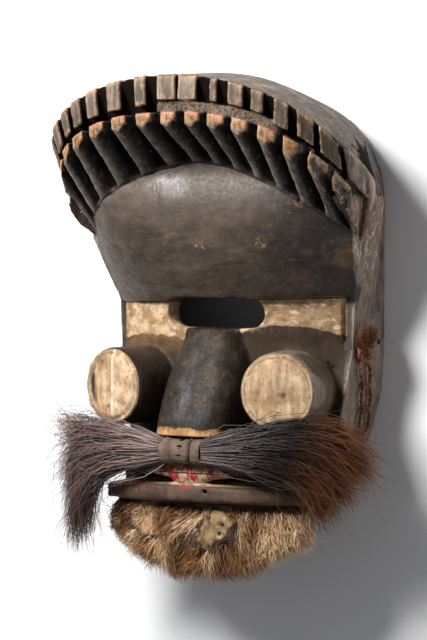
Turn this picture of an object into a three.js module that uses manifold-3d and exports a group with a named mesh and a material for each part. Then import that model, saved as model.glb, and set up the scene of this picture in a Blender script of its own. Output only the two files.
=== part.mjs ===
// A carved wooden face mask with a toothed crest, tubular eyes, a hair moustache and a fur beard.
// It lies on its back rim, face up: millimetres, +Z out of the face, +Y towards the crest,
// +X to the viewer's right. The shapes are drawn about the middle of the face, and the group is
// moved at the end so that its origin is under the middle of its box.
import * as THREE from "three";
import { mergeVertices } from "three/addons/utils/BufferGeometryUtils.js";
import Module from "manifold-3d";

const wasm = await Module();
wasm.setup();

// Back rim: an upper arc, straight sides and a lower arc, all at Z = 0
const RIM = {
  half: 104, upperY: 85, top: 87.5, upperPower: 2.2, lowerY: -20, bottom: 138, lowerPower: 2.1,
};
const WALL = {
  thickness: 14, crestEndThickness: 30, rimWidth: 13, backing: 7, rootIn: 8, rootDrop: 22, waist: 0.52,
  bulge: 0.73, buriedShare: 0.6,
};

// Crest: outer edge of the upper teeth, the groove under them, and the crease under the fins
const CREST_EDGE = { half: 129, middleY: 112, rise: 68.5, lowZ: 75, highZ: 145 };
const GROOVE = {
  half: 126, middleY: 85, rise: 70.5, lowZ: 54, highZ: 144, power: 2.25, depth: 10.5, halfWidth: 2.4,
};
const CREASE = { half: 115, middleY: 57, rise: 59.5, power: 1.55, footShare: 0.95 };
const CROWN = { half: 122, middleY: 95, rise: 90 };
const CREST_ROUNDNESS = 3.2;
const TOOTH = { gapDrop: 2.6, step: 1, edge: 2.2, root: 18, footIn: 3 };
const FIN = {
  depth: 12, face: 11, widening: 0.07, widerFrom: 55, end: 4,
  edge: 0.9, leftSink: 1.4, middleSink: 0.6, rightSink: 6.4,
};
const LEDGE = { from: -8, to: 92, sink: 2.8, outer: 4.6, inner: 4, thickness: 12, toothLift: 3.8 };

// Where each carved tooth of the upper row starts and ends, along the groove from the middle
const TEETH = [
  [-186, -160], [-153, -133], [-126, -112], [-104, -95], [-89, -79], [-72, -61], [-51, -39],
  [-25.5, -16.5], [-6.5, 9], [12, 26.5], [38, 43.5], [52.5, 64.5], [71, 80.5], [89, 100],
  [108, 122.5], [128.5, 152], [159, 188],
];
// The middle and width of each fin of the lower row, along the same groove
const FINS = [
  [-151, 20], [-128, 15], [-107, 15.5], [-86, 16], [-64, 16], [-41.5, 15], [-19, 14.7], [2.5, 14.3],
  [23, 14], [42.7, 15], [62, 14], [83.5, 15], [103, 14], [126.5, 19], [151, 20],
];

// Forehead, brow and eye band
const FOREHEAD = {
  fullY: 88, fullZ: 107, browY: 14, browZ: 82, topDrop: 9, sideHalf: 105, browHalf: 102, templeHalf: 114,
  templeRise: 46, backZ: 12,
};
const BROW = { left: 12, right: 18.5 };
const BAND = { half: 96, z: 79, fall: 30, top: 24, bottom: -10, lidStep: 2, backZ: 5 };
const SLOT = { half: 42.5, y: 5.5, height: 22.5 };

// Side edge of the wall, seen from the front, from the end of the crest to the cheek
const SIDE_EDGE = [[126, 90, 62], [118, 61, 64], [111, 37, 56], [104, 14, 47], [103, -20, 47]];

// Eyes, nose, jaw
const EYE = { x: 72.5, y: -50, z: 106.5, radius: 28.5, splay: 11.5, length: 62 };
const SOCKET = { x: 66, y: -58, radius: 34.5, floor: 46, depth: 60 };
const NOSE = {
  rootY: -3, baseY: -84, rootHalf: 20, fullHalf: 34.5, fullAt: 0.66, rootZ: 82, tipZ: 121, backZ: 52,
  boxiness: 4,
};
const JAW = { half: 87, top: -86, frontZ: 108, sideDrop: 30, backZ: 20, frontPower: 2.2 };
const MOUTH = { upper: -115, depth: 13 };
const LIP = {
  top: -119.5, bottom: -134, leftDrop: 3.5, rightDrop: 1, frontZ: 114, sideDrop: 24, thickness: 26,
};
const TEETH_STRIP = { half: 34, middleY: -111.5, rise: 6, z: 113.5, thickness: 16 };
const CHIN = { y: -156, z: 40 };
const HOLE = { radius: 2.5, places: [[-16, 8], [-11, 37]] };
const LIP_HOLE = { x: 15, y: -124.5, radius: 1.8, depth: 9 };

// Hollow of the back: how deep it goes, and where the carving in front makes it shallower
const HOLLOW = { middleY: 10, depth: 61, forehead: 23, eyes: 28, sides: 18, chin: 16 };

// Moustache: one hank of hair bound in the middle by a strip of hide, and where its locks end
const HAIR = {
  y: -95, z: 117.4, half: 8.2, flatness: 0.8, topY: -89, lowY: -116, lowestX: 76, bendZ: 105,
  left: [
    [-123, -88, 97], [-127, -104, 95], [-124, -118, 93], [-122, -150, 89], [-118, -172, 88], [-98, -172, 90],
  ],
  right: [
    [136, -90, 68], [141, -104, 65], [141, -120, 64], [136, -136, 67], [124, -149, 72], [100, -164, 82],
  ],
};
const KNOT = { half: 17.5, height: 20.4, depth: 17.4, thickness: 1.6 };

// Beard of furred hide under the lip, with one bare patch
const BEARD = {
  half: 85, bottom: -170, tipY: -190, sideTipY: -158, thickness: 5, locks: 11, z: 101, lean: 6,
  patch: { x: 18.6, y: -151, halfWidth: 15, halfHeight: 13, lift: 1.5 },
};

// Fibre cord on the viewer's right side wall
const CORD = {
  radius: 1.5, loops: 3, loopLength: 21, loopHalf: 7, topY: -24, topZ: 37, bottomZ: 22, knotHalf: 6,
  knotHalfWidth: 7.5, tuft: { strands: 4, length: 22, half: 16, out: 5 },
};

// Room left between two pieces that touch
const CLEARANCE = 0.4;

const COLOURS = {
  wood: 0x3b3632,
  hair: 0x3a2a20,
  hide: 0x6e5845,
  fur: 0x9c8160,
  fibre: 0x7a4a28,
};

const { lerp, clamp, smoothstep, degToRad } = THREE.MathUtils;
const vec = (x, y, z) => new THREE.Vector3(x, y, z);
const mix = (a, b, t) => a.clone().lerp(b, t);
const steps = (count, from = 0, to = 1) =>
  Array.from({ length: count + 1 }, (_, i) => lerp(from, to, i / count));
const turns = (count) => steps(count, 0, 2 * Math.PI).slice(1);
// Sine or cosine bent so that it draws a superellipse of this power
const bend = (value, power) => Math.sign(value) * Math.abs(value) ** (2 / power);

// Closed skin over rings of points. Open lofts are capped by a fan at each end.
function loft(rings, closed = false) {
  const count = rings[0].length;
  const points = rings.flat();
  const faces = [];
  const last = closed ? rings.length : rings.length - 1;
  for (let i = 0; i < last; i += 1) {
    const here = i * count;
    const next = ((i + 1) % rings.length) * count;
    for (let j = 0; j < count; j += 1) {
      const k = (j + 1) % count;
      faces.push(here + j, next + j, next + k, here + j, next + k, here + k);
    }
  }
  if (!closed) {
    const cap = (ring, start, flip) => {
      const middle = ring.reduce((sum, p) => sum.add(p), vec(0, 0, 0)).divideScalar(count);
      const hub = points.push(middle) - 1;
      for (let j = 0; j < count; j += 1) {
        const k = (j + 1) % count;
        faces.push(hub, start + (flip ? k : j), start + (flip ? j : k));
      }
    };
    cap(rings[0], 0, false);
    cap(rings[rings.length - 1], (rings.length - 1) * count, true);
  }
  const geometry = new THREE.BufferGeometry().setFromPoints(points);
  geometry.setIndex(faces);
  return geometry;
}

// Solid for joining and cutting. A skin that was drawn inside out is turned.
function solid(geometry) {
  const bare = geometry.clone();
  bare.deleteAttribute("normal");
  bare.deleteAttribute("uv");
  const merged = mergeVertices(bare, 1e-4);
  const triVerts = new Uint32Array(merged.index.array);
  const vertProperties = new Float32Array(merged.attributes.position.array);
  const made = new wasm.Manifold(new wasm.Mesh({ numProp: 3, vertProperties, triVerts }));
  if (made.volume() > 0) return made;
  for (let i = 0; i < triVerts.length; i += 3) {
    [triVerts[i + 1], triVerts[i + 2]] = [triVerts[i + 2], triVerts[i + 1]];
  }
  return new wasm.Manifold(new wasm.Mesh({ numProp: 3, vertProperties, triVerts }));
}

const join = (solids) => solids.reduce((all, one) => all.add(one));

function mesh(name, made, colour, roughness) {
  const { vertProperties, triVerts } = made.getMesh();
  const geometry = new THREE.BufferGeometry();
  geometry.setAttribute("position", new THREE.BufferAttribute(new Float32Array(vertProperties), 3));
  geometry.setIndex(new THREE.BufferAttribute(new Uint32Array(triVerts), 1));
  geometry.computeVertexNormals();
  const material = new THREE.MeshStandardMaterial({ color: colour, roughness, metalness: 0 });
  const node = new THREE.Mesh(geometry, material);
  node.name = name;
  return node;
}

const lathe = (profile, sides) => {
  const points = profile.map(([radius, height]) => new THREE.Vector2(radius, height));
  return new THREE.LatheGeometry(points, sides).rotateX(Math.PI / 2);
};

// Curves of the crest, by an angle from -90 to 90 degrees with 0 at the top
const crestHeight = (share, low, high) =>
  lerp(low, high, Math.max(0, 1 - Math.abs(share) ** CREST_ROUNDNESS) ** (1 / CREST_ROUNDNESS));
const crestShare = (angle) => bend(Math.sin(angle), GROOVE.power);

function crestEdge(angle) {
  const { half, middleY, rise, lowZ, highZ } = CREST_EDGE;
  const share = crestShare(angle);
  const y = middleY + rise * Math.sqrt(1 - share ** 2);
  return vec(half * share, y, crestHeight(share, lowZ, highZ));
}

class GrooveLine extends THREE.Curve {
  getPoint(t) {
    const angle = (t - 0.5) * Math.PI;
    const { half, middleY, rise, lowZ, highZ, power } = GROOVE;
    const share = crestShare(angle);
    const y = middleY + rise * bend(Math.max(0, Math.cos(angle)), power);
    return vec(half * share, y, crestHeight(share, lowZ, highZ));
  }
}
const grooveLine = new GrooveLine();
grooveLine.arcLengthDivisions = 800;
const grooveLength = grooveLine.getLength();
const groove = (angle) => grooveLine.getPoint(angle / Math.PI + 0.5);
const angleAt = (arc) =>
  (grooveLine.getUtoTmapping(clamp(0.5 + arc / grooveLength, 0, 1)) - 0.5) * Math.PI;

// A point buried in the wall under a carved one, less deep where the crest thins out at its ends
function buried(point, depth) {
  const thinning = 1 - 0.5 * Math.min(1, Math.abs(point.x) / GROOVE.half) ** 6;
  return vec(point.x * 0.95, point.y, point.z - depth * thinning);
}

// Front of the forehead. It swells above the brow and falls away at the temples.
function foreheadZ(x, y) {
  const { fullY, fullZ, browY, browZ, topDrop, sideHalf } = FOREHEAD;
  const below = (fullZ - browZ) * (Math.max(0, fullY - y) / (fullY - browY)) ** 2;
  const above = topDrop * (Math.max(0, y - fullY) / 28) ** 2;
  const high = smoothstep(y, browY + 10, fullY);
  const side = Math.abs(x) / sideHalf;
  return fullZ - below - above - (1 - high) * 37 * side ** 2.6 - high * 24 * side ** 6;
}

function crease(wantedX) {
  const { half, middleY, rise, power } = CREASE;
  const x = clamp(wantedX, 1 - half, half - 1);
  const y = middleY + rise * (1 - (Math.abs(x) / half) ** power) ** (1 / power);
  return vec(x, y, foreheadZ(x, y));
}

// Outer wall, from the rim over the crown to the edge of the crest
const rimArc = (angle) =>
  vec(
    RIM.half * bend(Math.sin(angle), RIM.upperPower),
    RIM.upperY + RIM.top * bend(Math.max(0, Math.cos(angle)), RIM.upperPower),
    0,
  );
const crown = (angle) =>
  vec(
    CROWN.half * Math.sin(angle),
    CROWN.middleY + CROWN.rise * Math.cos(angle),
    crestEdge(angle).z / 2,
  );
const sideEdge = new THREE.CatmullRomCurve3([
  crestEdge(Math.PI / 2),
  ...SIDE_EDGE.map(([x, y, z]) => vec(x, y, z)),
]);
const [cheekX, cheekY, cheekZ] = SIDE_EDGE[SIDE_EDGE.length - 1];
const lowerArc = (angle, half, startY, endY, z) =>
  vec(
    half * bend(Math.sin(angle), RIM.lowerPower),
    startY - (startY - endY) * bend(Math.max(0, Math.cos(angle)), RIM.lowerPower),
    z,
  );
const chinEdge = (angle) =>
  lowerArc(angle, cheekX, cheekY, CHIN.y, lerp(CHIN.z, cheekZ + 8, Math.sin(angle) ** 2));
const chinRim = (angle) => lowerArc(angle, RIM.half, RIM.lowerY, RIM.lowerY - RIM.bottom, 0);

// Sections of the wall: rim, waist, front edge, inner edge, and points buried behind the face
function crestSection(angle) {
  const edge = crestEdge(angle);
  const waist = crown(angle);
  const valley = groove(angle);
  const outward = edge.clone().sub(valley).setZ(0).normalize();
  const floor = mix(edge, waist, TOOTH.gapDrop / (edge.z - waist.z)).addScaledVector(outward, -TOOTH.step);
  const low = vec(valley.x * 0.96, valley.y, valley.z - GROOVE.depth);
  const foot = crease(valley.x * CREASE.footShare);
  const under = mix(low, foot, 0.28).setZ(low.z - 4);
  const rim = rimArc(angle);
  const root = vec(foot.x * 0.9, foot.y * 0.9, foot.z - WALL.thickness);
  const buriedY = rim.y * lerp(WALL.buriedShare, 1, Math.sin(angle) ** 8);
  return [rim, waist, floor, low, under, root, vec(rim.x * WALL.buriedShare, buriedY, 0)];
}

function sideSection(share) {
  const front = sideEdge.getPoint(share);
  const rim = vec(RIM.half, lerp(RIM.upperY, RIM.lowerY, share), 0);
  const waist = mix(rim, front, WALL.waist).setX(lerp(rim.x, front.x, lerp(WALL.bulge, WALL.waist, share)));
  const thickness = lerp(WALL.crestEndThickness, WALL.thickness, Math.min(1, share / 0.5));
  const inner = vec(front.x - thickness, front.y, front.z);
  const root = vec(inner.x - WALL.rootIn, front.y, front.z - WALL.rootDrop);
  const buriedRim = vec(RIM.half * WALL.buriedShare, rim.y, 0);
  return [rim, waist, front, mix(front, inner, 0.85), inner, root, buriedRim];
}

function chinSection(angle) {
  const front = chinEdge(angle);
  const rim = chinRim(angle);
  const inward = vec(0, -40, front.z).sub(front).setZ(0).normalize();
  const inner = front.clone().addScaledVector(inward, WALL.thickness);
  const root = inner.clone().addScaledVector(inward, WALL.rootIn).setZ(front.z - WALL.rootDrop);
  const back = rim.clone().addScaledVector(inward, 30);
  return [rim, mix(rim, front, 0.5), front, mix(front, inner, 0.85), inner, root, back];
}

function wall() {
  const mirror = (section) => section.map((p) => vec(-p.x, p.y, p.z));
  const right = [
    ...steps(11, 0, Math.PI / 2).map(crestSection),
    ...steps(5).slice(1).map(sideSection),
    ...steps(7, Math.PI / 2, 0).slice(1).map(chinSection),
  ];
  const left = right.slice(1, -1).map(mirror).reverse();
  return solid(loft([...right, ...left], true));
}

// Upper row: separate blocks that rise from the sloping floor of the gaps
function tooth([from, to]) {
  const onLedge = from > LEDGE.from && to < LEDGE.to;
  const innerAt = GROOVE.halfWidth + (onLedge ? LEDGE.toothLift : 0);
  const rings = steps(to - from > 13 ? 2 : 1, from, to).map((arc) => {
    const angle = angleAt(arc);
    const edge = crestEdge(angle);
    const valley = groove(angle);
    const waist = crown(angle);
    const span = edge.distanceTo(valley);
    const outward = edge.clone().sub(valley).setZ(0).normalize();
    const inner = mix(valley, edge, innerAt / span);
    const outerTop = mix(valley, edge, 1 - TOOTH.edge / span);
    const outerFoot = mix(edge, waist, TOOTH.root / (edge.z - waist.z));
    outerFoot.addScaledVector(outward, -TOOTH.footIn);
    return [
      buried(inner, TOOTH.root),
      inner,
      outerTop,
      vec(edge.x, edge.y, edge.z - TOOTH.edge),
      outerFoot,
    ];
  });
  return solid(loft(rings));
}

// Lower row: one swept block, cut into fins by deep flutes. Each fin is sharp on the viewer's left and
// falls away to the right. A station is a place along the groove, how far its ridge and its face lie
// back, and how much of the front face it keeps.
function finStations() {
  const gap = (arc) => ({ arc, sink: FIN.depth, faceSink: FIN.depth, face: 0.1 });
  const end = (arc) => ({ arc, sink: 0, faceSink: 0, face: 0.1 });
  const places = FINS.flatMap(([middle, width]) => {
    const half = width / 2;
    return [
      gap(middle - half),
      { arc: middle - half + FIN.edge, sink: FIN.leftSink, faceSink: 0, face: 0.75 },
      { arc: middle, sink: FIN.middleSink, faceSink: 0, face: 1 },
      { arc: middle + half - FIN.edge, sink: FIN.rightSink, faceSink: 0, face: 0.6 },
      gap(middle + half),
    ];
  });
  const inside = places.slice(1, -1);
  return [end(places[0].arc - FIN.end), ...inside, end(places[places.length - 1].arc + FIN.end)];
}

function finSection({ arc, sink, faceSink, face }) {
  const valley = groove(angleAt(arc));
  const foot = crease(valley.x * CREASE.footShare);
  const along = foot.clone().sub(valley).setZ(0);
  const reach = along.length();
  const inset = GROOVE.halfWidth / reach;
  const faceLength = FIN.face + FIN.widening * Math.max(0, arc - FIN.widerFrom);
  const ridgeStart = inset + faceLength / reach;
  const outward = Math.sign(valley.x) * smoothstep(Math.abs(arc), 95, 150);
  const onFace = (share) => valley.clone().addScaledVector(along, share).setZ(valley.z - faceSink);
  const onRidge = (run) => {
    const left = 1 - run ** 3;
    const swell = Math.sin(Math.PI * run);
    const share = lerp(ridgeStart, 1, run) - (0.75 * sink * left) / reach;
    const point = valley.clone().addScaledVector(along, share);
    point.x += 6 * swell * outward;
    point.z = lerp(valley.z, foot.z, run ** 0.92) - 0.55 * sink * left + 5 * swell * Math.abs(outward);
    return point;
  };
  const top = onFace(inset);
  return [
    buried(vec(top.x, top.y, valley.z), 2 * FIN.depth),
    top,
    onFace(inset + (face * faceLength) / reach),
    onRidge(0.3),
    onRidge(0.65),
    vec(foot.x, foot.y, foot.z - 0.5),
    vec(foot.x, foot.y + 2, foot.z - 16),
  ];
}

const fins = () => solid(loft(finStations().map(finSection)));

// The rough ledge left standing between the two rows on the viewer's right
function ledge() {
  const rings = steps(6, LEDGE.from, LEDGE.to).map((arc) => {
    const angle = angleAt(arc);
    const valley = groove(angle);
    const edge = crestEdge(angle);
    const foot = crease(valley.x * CREASE.footShare);
    const outer = mix(valley, edge, LEDGE.outer / edge.distanceTo(valley));
    const inner = mix(valley, foot, LEDGE.inner / foot.distanceTo(valley));
    const top = valley.z - LEDGE.sink;
    const low = top - LEDGE.thickness;
    return [[outer, top], [inner, top], [inner, low], [outer, low]].map(([p, z]) => p.clone().setZ(z));
  });
  return solid(loft(rings));
}

// Forehead: a swelling slab between the crease and the brow
function forehead() {
  const { browHalf, templeHalf, templeRise, browY, backZ } = FOREHEAD;
  const halfAt = (y) => lerp(browHalf, templeHalf, clamp((y - browY) / templeRise, 0, 1));
  const rings = steps(14, -1, 1).map((across) => {
    const topY = crease(across * 112).y + 5;
    const lowY = lerp(BROW.left, BROW.right, (across + 1) / 2);
    const column = steps(6).map((share) => {
      const y = lerp(lowY, topY, share ** 0.85);
      const x = across * halfAt(y);
      return vec(x, y, foreheadZ(x, y));
    });
    const low = column[0];
    const top = column[column.length - 1];
    const behind = [
      vec(top.x * 0.98, top.y + 8, top.z - 8),
      vec(top.x * 0.88, top.y, backZ),
      vec(low.x * 0.9, low.y, backZ),
    ];
    return [...column, ...behind];
  });
  return solid(loft(rings));
}

// Eye band, lids and cheeks, from behind the brow down to the chin
function face() {
  const rings = steps(12, -1, 1).map((across) => {
    const x = across * BAND.half;
    const cheek = across * (BAND.half - 4);
    const chin = across * 66;
    const bandZ = BAND.z - BAND.fall * (x / 100) ** 2;
    const lidZ = bandZ - BAND.lidStep;
    return [
      vec(x, BAND.top, bandZ - 3),
      vec(x, BAND.top - 6, bandZ),
      vec(x, BAND.bottom, bandZ),
      vec(x, BAND.bottom - 1.5, lidZ),
      vec(x, -70, lidZ - 2),
      vec(cheek, -95, lidZ - 2),
      vec(chin, -136, 62 - 16 * across ** 2),
      vec(chin * 0.8, -150, 44 - 8 * across ** 2),
      vec(chin * 0.7, -148, BAND.backZ),
      vec(cheek, -30, BAND.backZ),
      vec(cheek, BAND.top, BAND.backZ),
    ];
  });
  return solid(loft(rings));
}

function socket(side) {
  const { radius, depth, x, y, floor } = SOCKET;
  const profile = [[0, 0], [radius - 4, 0], [radius, 4], [radius + 2, depth], [0, depth]];
  return solid(lathe(profile, 20).translate(side * x, y, floor));
}

function eye(side) {
  const { radius, length, splay, x, y, z } = EYE;
  const profile = [
    [0, -length], [radius + 1, -length], [radius + 0.6, -1.6], [radius - 1.2, 0], [0, 0],
  ];
  const tube = lathe(profile, 20).rotateY(degToRad(side * splay));
  return solid(tube.translate(side * x, y, z));
}

// Nose: boxy, rounded sections from the root down to the flat, worn base
function nose() {
  const { rootY, baseY, rootHalf, fullHalf, fullAt, rootZ, tipZ, backZ, boxiness } = NOSE;
  const rings = steps(8).map((share) => {
    const swell = Math.sin((Math.PI / 2) * Math.min(1, share / fullAt));
    const half = lerp(rootHalf, fullHalf, swell);
    const front = lerp(rootZ, tipZ, Math.min(1, share * 1.1) ** 0.9);
    return steps(11, 0, Math.PI).map((turn) => {
      const across = bend(Math.cos(turn), boxiness);
      const out = bend(Math.sin(turn), boxiness);
      return vec(half * across, lerp(rootY, baseY, share), lerp(backZ, front, out));
    });
  });
  return solid(loft(rings));
}

// Jaw block with the mouth cut into it, the lower lip and the strip of painted teeth
const arcZ = (x, front, drop) => front - drop * (Math.abs(x) / JAW.half) ** JAW.frontPower;

function jaw() {
  const rings = steps(10, -1, 1).map((across) => {
    const x = across * JAW.half;
    const z = arcZ(x, JAW.frontZ, JAW.sideDrop);
    const inside = z - MOUTH.depth;
    const back = across * (JAW.half - 12);
    return [
      vec(back, JAW.top + 8, 54 - 12 * across ** 2),
      vec(x, JAW.top, z - 9),
      vec(x, JAW.top - 7, z),
      vec(x, MOUTH.upper, z),
      vec(x, MOUTH.upper - 0.5, inside),
      vec(x, LIP.top - 6, inside),
      vec(across * (JAW.half - 8), LIP.bottom - 2, inside - 4),
      vec(across * (JAW.half - 18), LIP.bottom - 12, inside - 30),
      vec(back * 0.85, LIP.bottom - 4, JAW.backZ),
      vec(back, JAW.top, JAW.backZ),
    ];
  });
  return solid(loft(rings));
}

const lipDrop = (across) => (across < 0 ? LIP.leftDrop : LIP.rightDrop) * across ** 2;
const lipHalf = (across) => ((LIP.top - LIP.bottom) / 2) * (1 - 0.18 * Math.abs(across) ** 6);
const lipMiddle = (across) => (LIP.top + LIP.bottom) / 2 - lipDrop(across);

function lowerLip() {
  const rings = steps(10, -1, 1).map((across) => {
    const x = across * JAW.half;
    const z = arcZ(x, LIP.frontZ, LIP.sideDrop);
    const top = lipMiddle(across) + lipHalf(across);
    const bottom = lipMiddle(across) - lipHalf(across);
    return [
      vec(x, top, z - LIP.thickness),
      vec(x, top, z - 2.5),
      vec(x, top - 2, z),
      vec(x, bottom + 2, z),
      vec(x, bottom, z - 2.5),
      vec(x, bottom, z - LIP.thickness),
    ];
  });
  return solid(loft(rings));
}

function teethStrip() {
  const { half, middleY, rise, z, thickness } = TEETH_STRIP;
  const rings = steps(6, -1, 1).map((across) => {
    const x = across * half;
    const tall = rise * Math.sqrt(Math.max(0.04, 1 - across ** 2));
    const front = arcZ(x, z, LIP.sideDrop);
    return [
      vec(x, middleY + tall, front - thickness),
      vec(x, middleY + tall, front - 3),
      vec(x, middleY + tall * 0.5, front),
      vec(x, middleY - tall * 0.5, front),
      vec(x, middleY - tall, front - 3),
      vec(x, middleY - tall, front - thickness),
    ];
  });
  return solid(loft(rings));
}

// Hollow of the back: a bowl that follows the face, shallower behind the eyes
function hollowDepth(x, y) {
  const forehead = HOLLOW.forehead * smoothstep(y, 18, 60);
  const fromEye = ((Math.abs(x) - 66) / 34) ** 2 + ((y + 50) / 42) ** 2;
  const eyes = HOLLOW.eyes * Math.exp(-(fromEye ** 2));
  const sides = HOLLOW.sides * (x / 95) ** 2;
  const chin = HOLLOW.chin * smoothstep(-y, 90, 150);
  return HOLLOW.depth + forehead - eyes - sides - chin;
}

// The hollow itself, or the wood that backs it when it is drawn wider and deeper
function bowl(rimWidth, startZ, extraDepth) {
  const middle = vec(0, HOLLOW.middleY, 0);
  const right = [
    ...steps(8, 0, Math.PI / 2).map(rimArc),
    ...steps(2, RIM.upperY, RIM.lowerY).slice(1).map((y) => vec(RIM.half, y, 0)),
    ...steps(8, Math.PI / 2, 0).slice(1).map(chinRim),
  ];
  const left = right.slice(1, -1).map((p) => vec(-p.x, p.y, 0)).reverse();
  const lip = [...right, ...left].map((p) => {
    const inward = middle.clone().sub(p).normalize();
    return p.clone().addScaledVector(inward, rimWidth);
  });
  const rings = [0.15, 0.5, 0.85, 1.15, 1.42].map((turn) =>
    lip.map((p) => {
      const spread = mix(middle, p, Math.cos(turn) ** 0.5);
      const depth = hollowDepth(spread.x, spread.y) + extraDepth;
      return spread.setZ(depth * Math.sin(turn) ** 0.8);
    }),
  );
  return solid(loft([lip.map((p) => vec(p.x, p.y, startZ)), ...rings]));
}

const hollow = () => bowl(WALL.rimWidth, -4, 0);
const backing = () => bowl(WALL.rimWidth / 4, 0, WALL.backing);

function eyeSlot() {
  const radius = SLOT.height / 2;
  const straight = SLOT.half - radius;
  const shape = new THREE.Shape();
  shape.moveTo(-straight, -radius);
  shape.lineTo(straight, -radius);
  shape.absarc(straight, 0, radius, -Math.PI / 2, Math.PI / 2, false);
  shape.lineTo(-straight, radius);
  shape.absarc(-straight, 0, radius, Math.PI / 2, (3 * Math.PI) / 2, false);
  const cut = new THREE.ExtrudeGeometry(shape, { depth: 100, bevelEnabled: false, curveSegments: 8 });
  return solid(cut.translate(0, SLOT.y, 20));
}

function sideHoles() {
  const drill = (side, [y, z]) => {
    const bit = new THREE.CylinderGeometry(HOLE.radius, HOLE.radius, 40, 8).rotateZ(Math.PI / 2);
    return solid(bit.translate(side * 98, y, z));
  };
  return join([-1, 1].flatMap((side) => HOLE.places.map((place) => drill(side, place))));
}

function lipHole() {
  const { x, y, radius, depth } = LIP_HOLE;
  const bit = new THREE.CylinderGeometry(radius, radius, 2 * depth, 8).rotateX(Math.PI / 2);
  return solid(bit.translate(x, y, LIP.frontZ));
}

function maskBody() {
  const cheeks = face().subtract(socket(-1)).subtract(socket(1));
  const carved = join([
    wall(), backing(), forehead(), cheeks, ledge(), fins(), ...TEETH.map(tooth), eye(-1), eye(1),
    nose(), jaw(), lowerLip(), teethStrip(),
  ]);
  return carved.subtract(hollow()).subtract(eyeSlot()).subtract(sideHoles()).subtract(lipHole());
}

// One tapered lock: sections along a bent line, with a width at its root, its middle and its tip
function lock(points, [rootWidth, middleWidth, tipWidth], flatness, sides = 5) {
  const line = new THREE.CatmullRomCurve3(points);
  const widthAt = (share) =>
    share < 0.5 ? lerp(rootWidth, middleWidth, share * 2) : lerp(middleWidth, tipWidth, share * 2 - 1);
  const rings = steps(4).map((share) => {
    const along = line.getTangent(share);
    const across = vec(0, 0, 1).cross(along).normalize();
    const out = along.clone().cross(across);
    return turns(sides).map((turn) =>
      line.getPoint(share)
        .addScaledVector(across, widthAt(share) * Math.cos(turn))
        .addScaledVector(out, widthAt(share) * flatness * Math.sin(turn)),
    );
  });
  return solid(loft(rings));
}

function moustacheHair() {
  const { y, z, half, flatness, topY, lowY, lowestX, bendZ } = HAIR;
  const reach = KNOT.half + 4;
  const core = lathe([[0, -reach], [half, -reach], [half, reach], [0, reach]], 10);
  core.rotateY(Math.PI / 2).scale(1, 1, flatness).translate(0, y, z);
  const fan = (side, ends) =>
    ends.map(([endX, endY, endZ], i) => {
      const share = i / (ends.length - 1);
      const points = [
        vec(side * KNOT.half, y + lerp(0.45, -0.45, share) * half, z),
        vec(side * 48, y + lerp(11, -11, share), z - 2),
        vec(side * lerp(86, lowestX, share), lerp(topY, lowY, share), bendZ),
        vec(endX, endY, endZ),
      ];
      return lock(points, [3.4, 9.5, 3.2], 0.6, 4);
    });
  return join([solid(core), ...fan(-1, HAIR.left), ...fan(1, HAIR.right)]);
}

function moustacheBand() {
  const { half, height, depth, thickness } = KNOT;
  const outer = height / 2;
  const inner = outer - thickness;
  const profile = [
    [inner, -half], [outer - 1, -half], [outer, 3 - half], [outer - 1.2, 0], [outer, half - 3],
    [outer - 1, half], [inner, half], [inner, -half],
  ];
  const ring = lathe(profile, 14).rotateY(Math.PI / 2).scale(1, 1, depth / height);
  return solid(ring.translate(0, HAIR.y, HAIR.z));
}

function beard() {
  const { half, bottom, tipY, sideTipY, thickness, locks, z, lean, patch } = BEARD;
  const topAt = (across) => lipMiddle(across) - lipHalf(across) - CLEARANCE;
  const frontAt = (x) => arcZ(x, z, LIP.sideDrop);
  const hide = steps(10, -1, 1).map((across) => {
    const x = across * half;
    const top = topAt(across);
    const low = lerp(bottom, top, 0.45 * across ** 2);
    const front = frontAt(x);
    return [
      vec(x, top, front),
      vec(x, low, front - lean),
      vec(x, low, front - lean - thickness),
      vec(x, top, front - thickness),
    ];
  });
  const fur = steps(locks - 1, -0.92, 0.92).map((across, i) => {
    const x = across * half;
    const top = topAt(across);
    const low = lerp(tipY, sideTipY, across ** 2) + 4 * (i % 2);
    const front = frontAt(x);
    const points = [
      vec(x, top - 9, front - 2),
      vec(x * 1.01, lerp(top, low, 0.55), front + 1),
      vec(x * 1.02 - 2, low, front - 6),
    ];
    return lock(points, [7, 9.5, 4], 0.42, 4);
  });
  const bare = new THREE.CylinderGeometry(1, 1, 6, 12).rotateX(Math.PI / 2);
  bare.scale(patch.halfWidth, patch.halfHeight, 1);
  bare.translate(patch.x, patch.y, frontAt(patch.x) + patch.lift);
  return join([solid(loft(hide)), ...fur, solid(bare)]);
}

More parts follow.
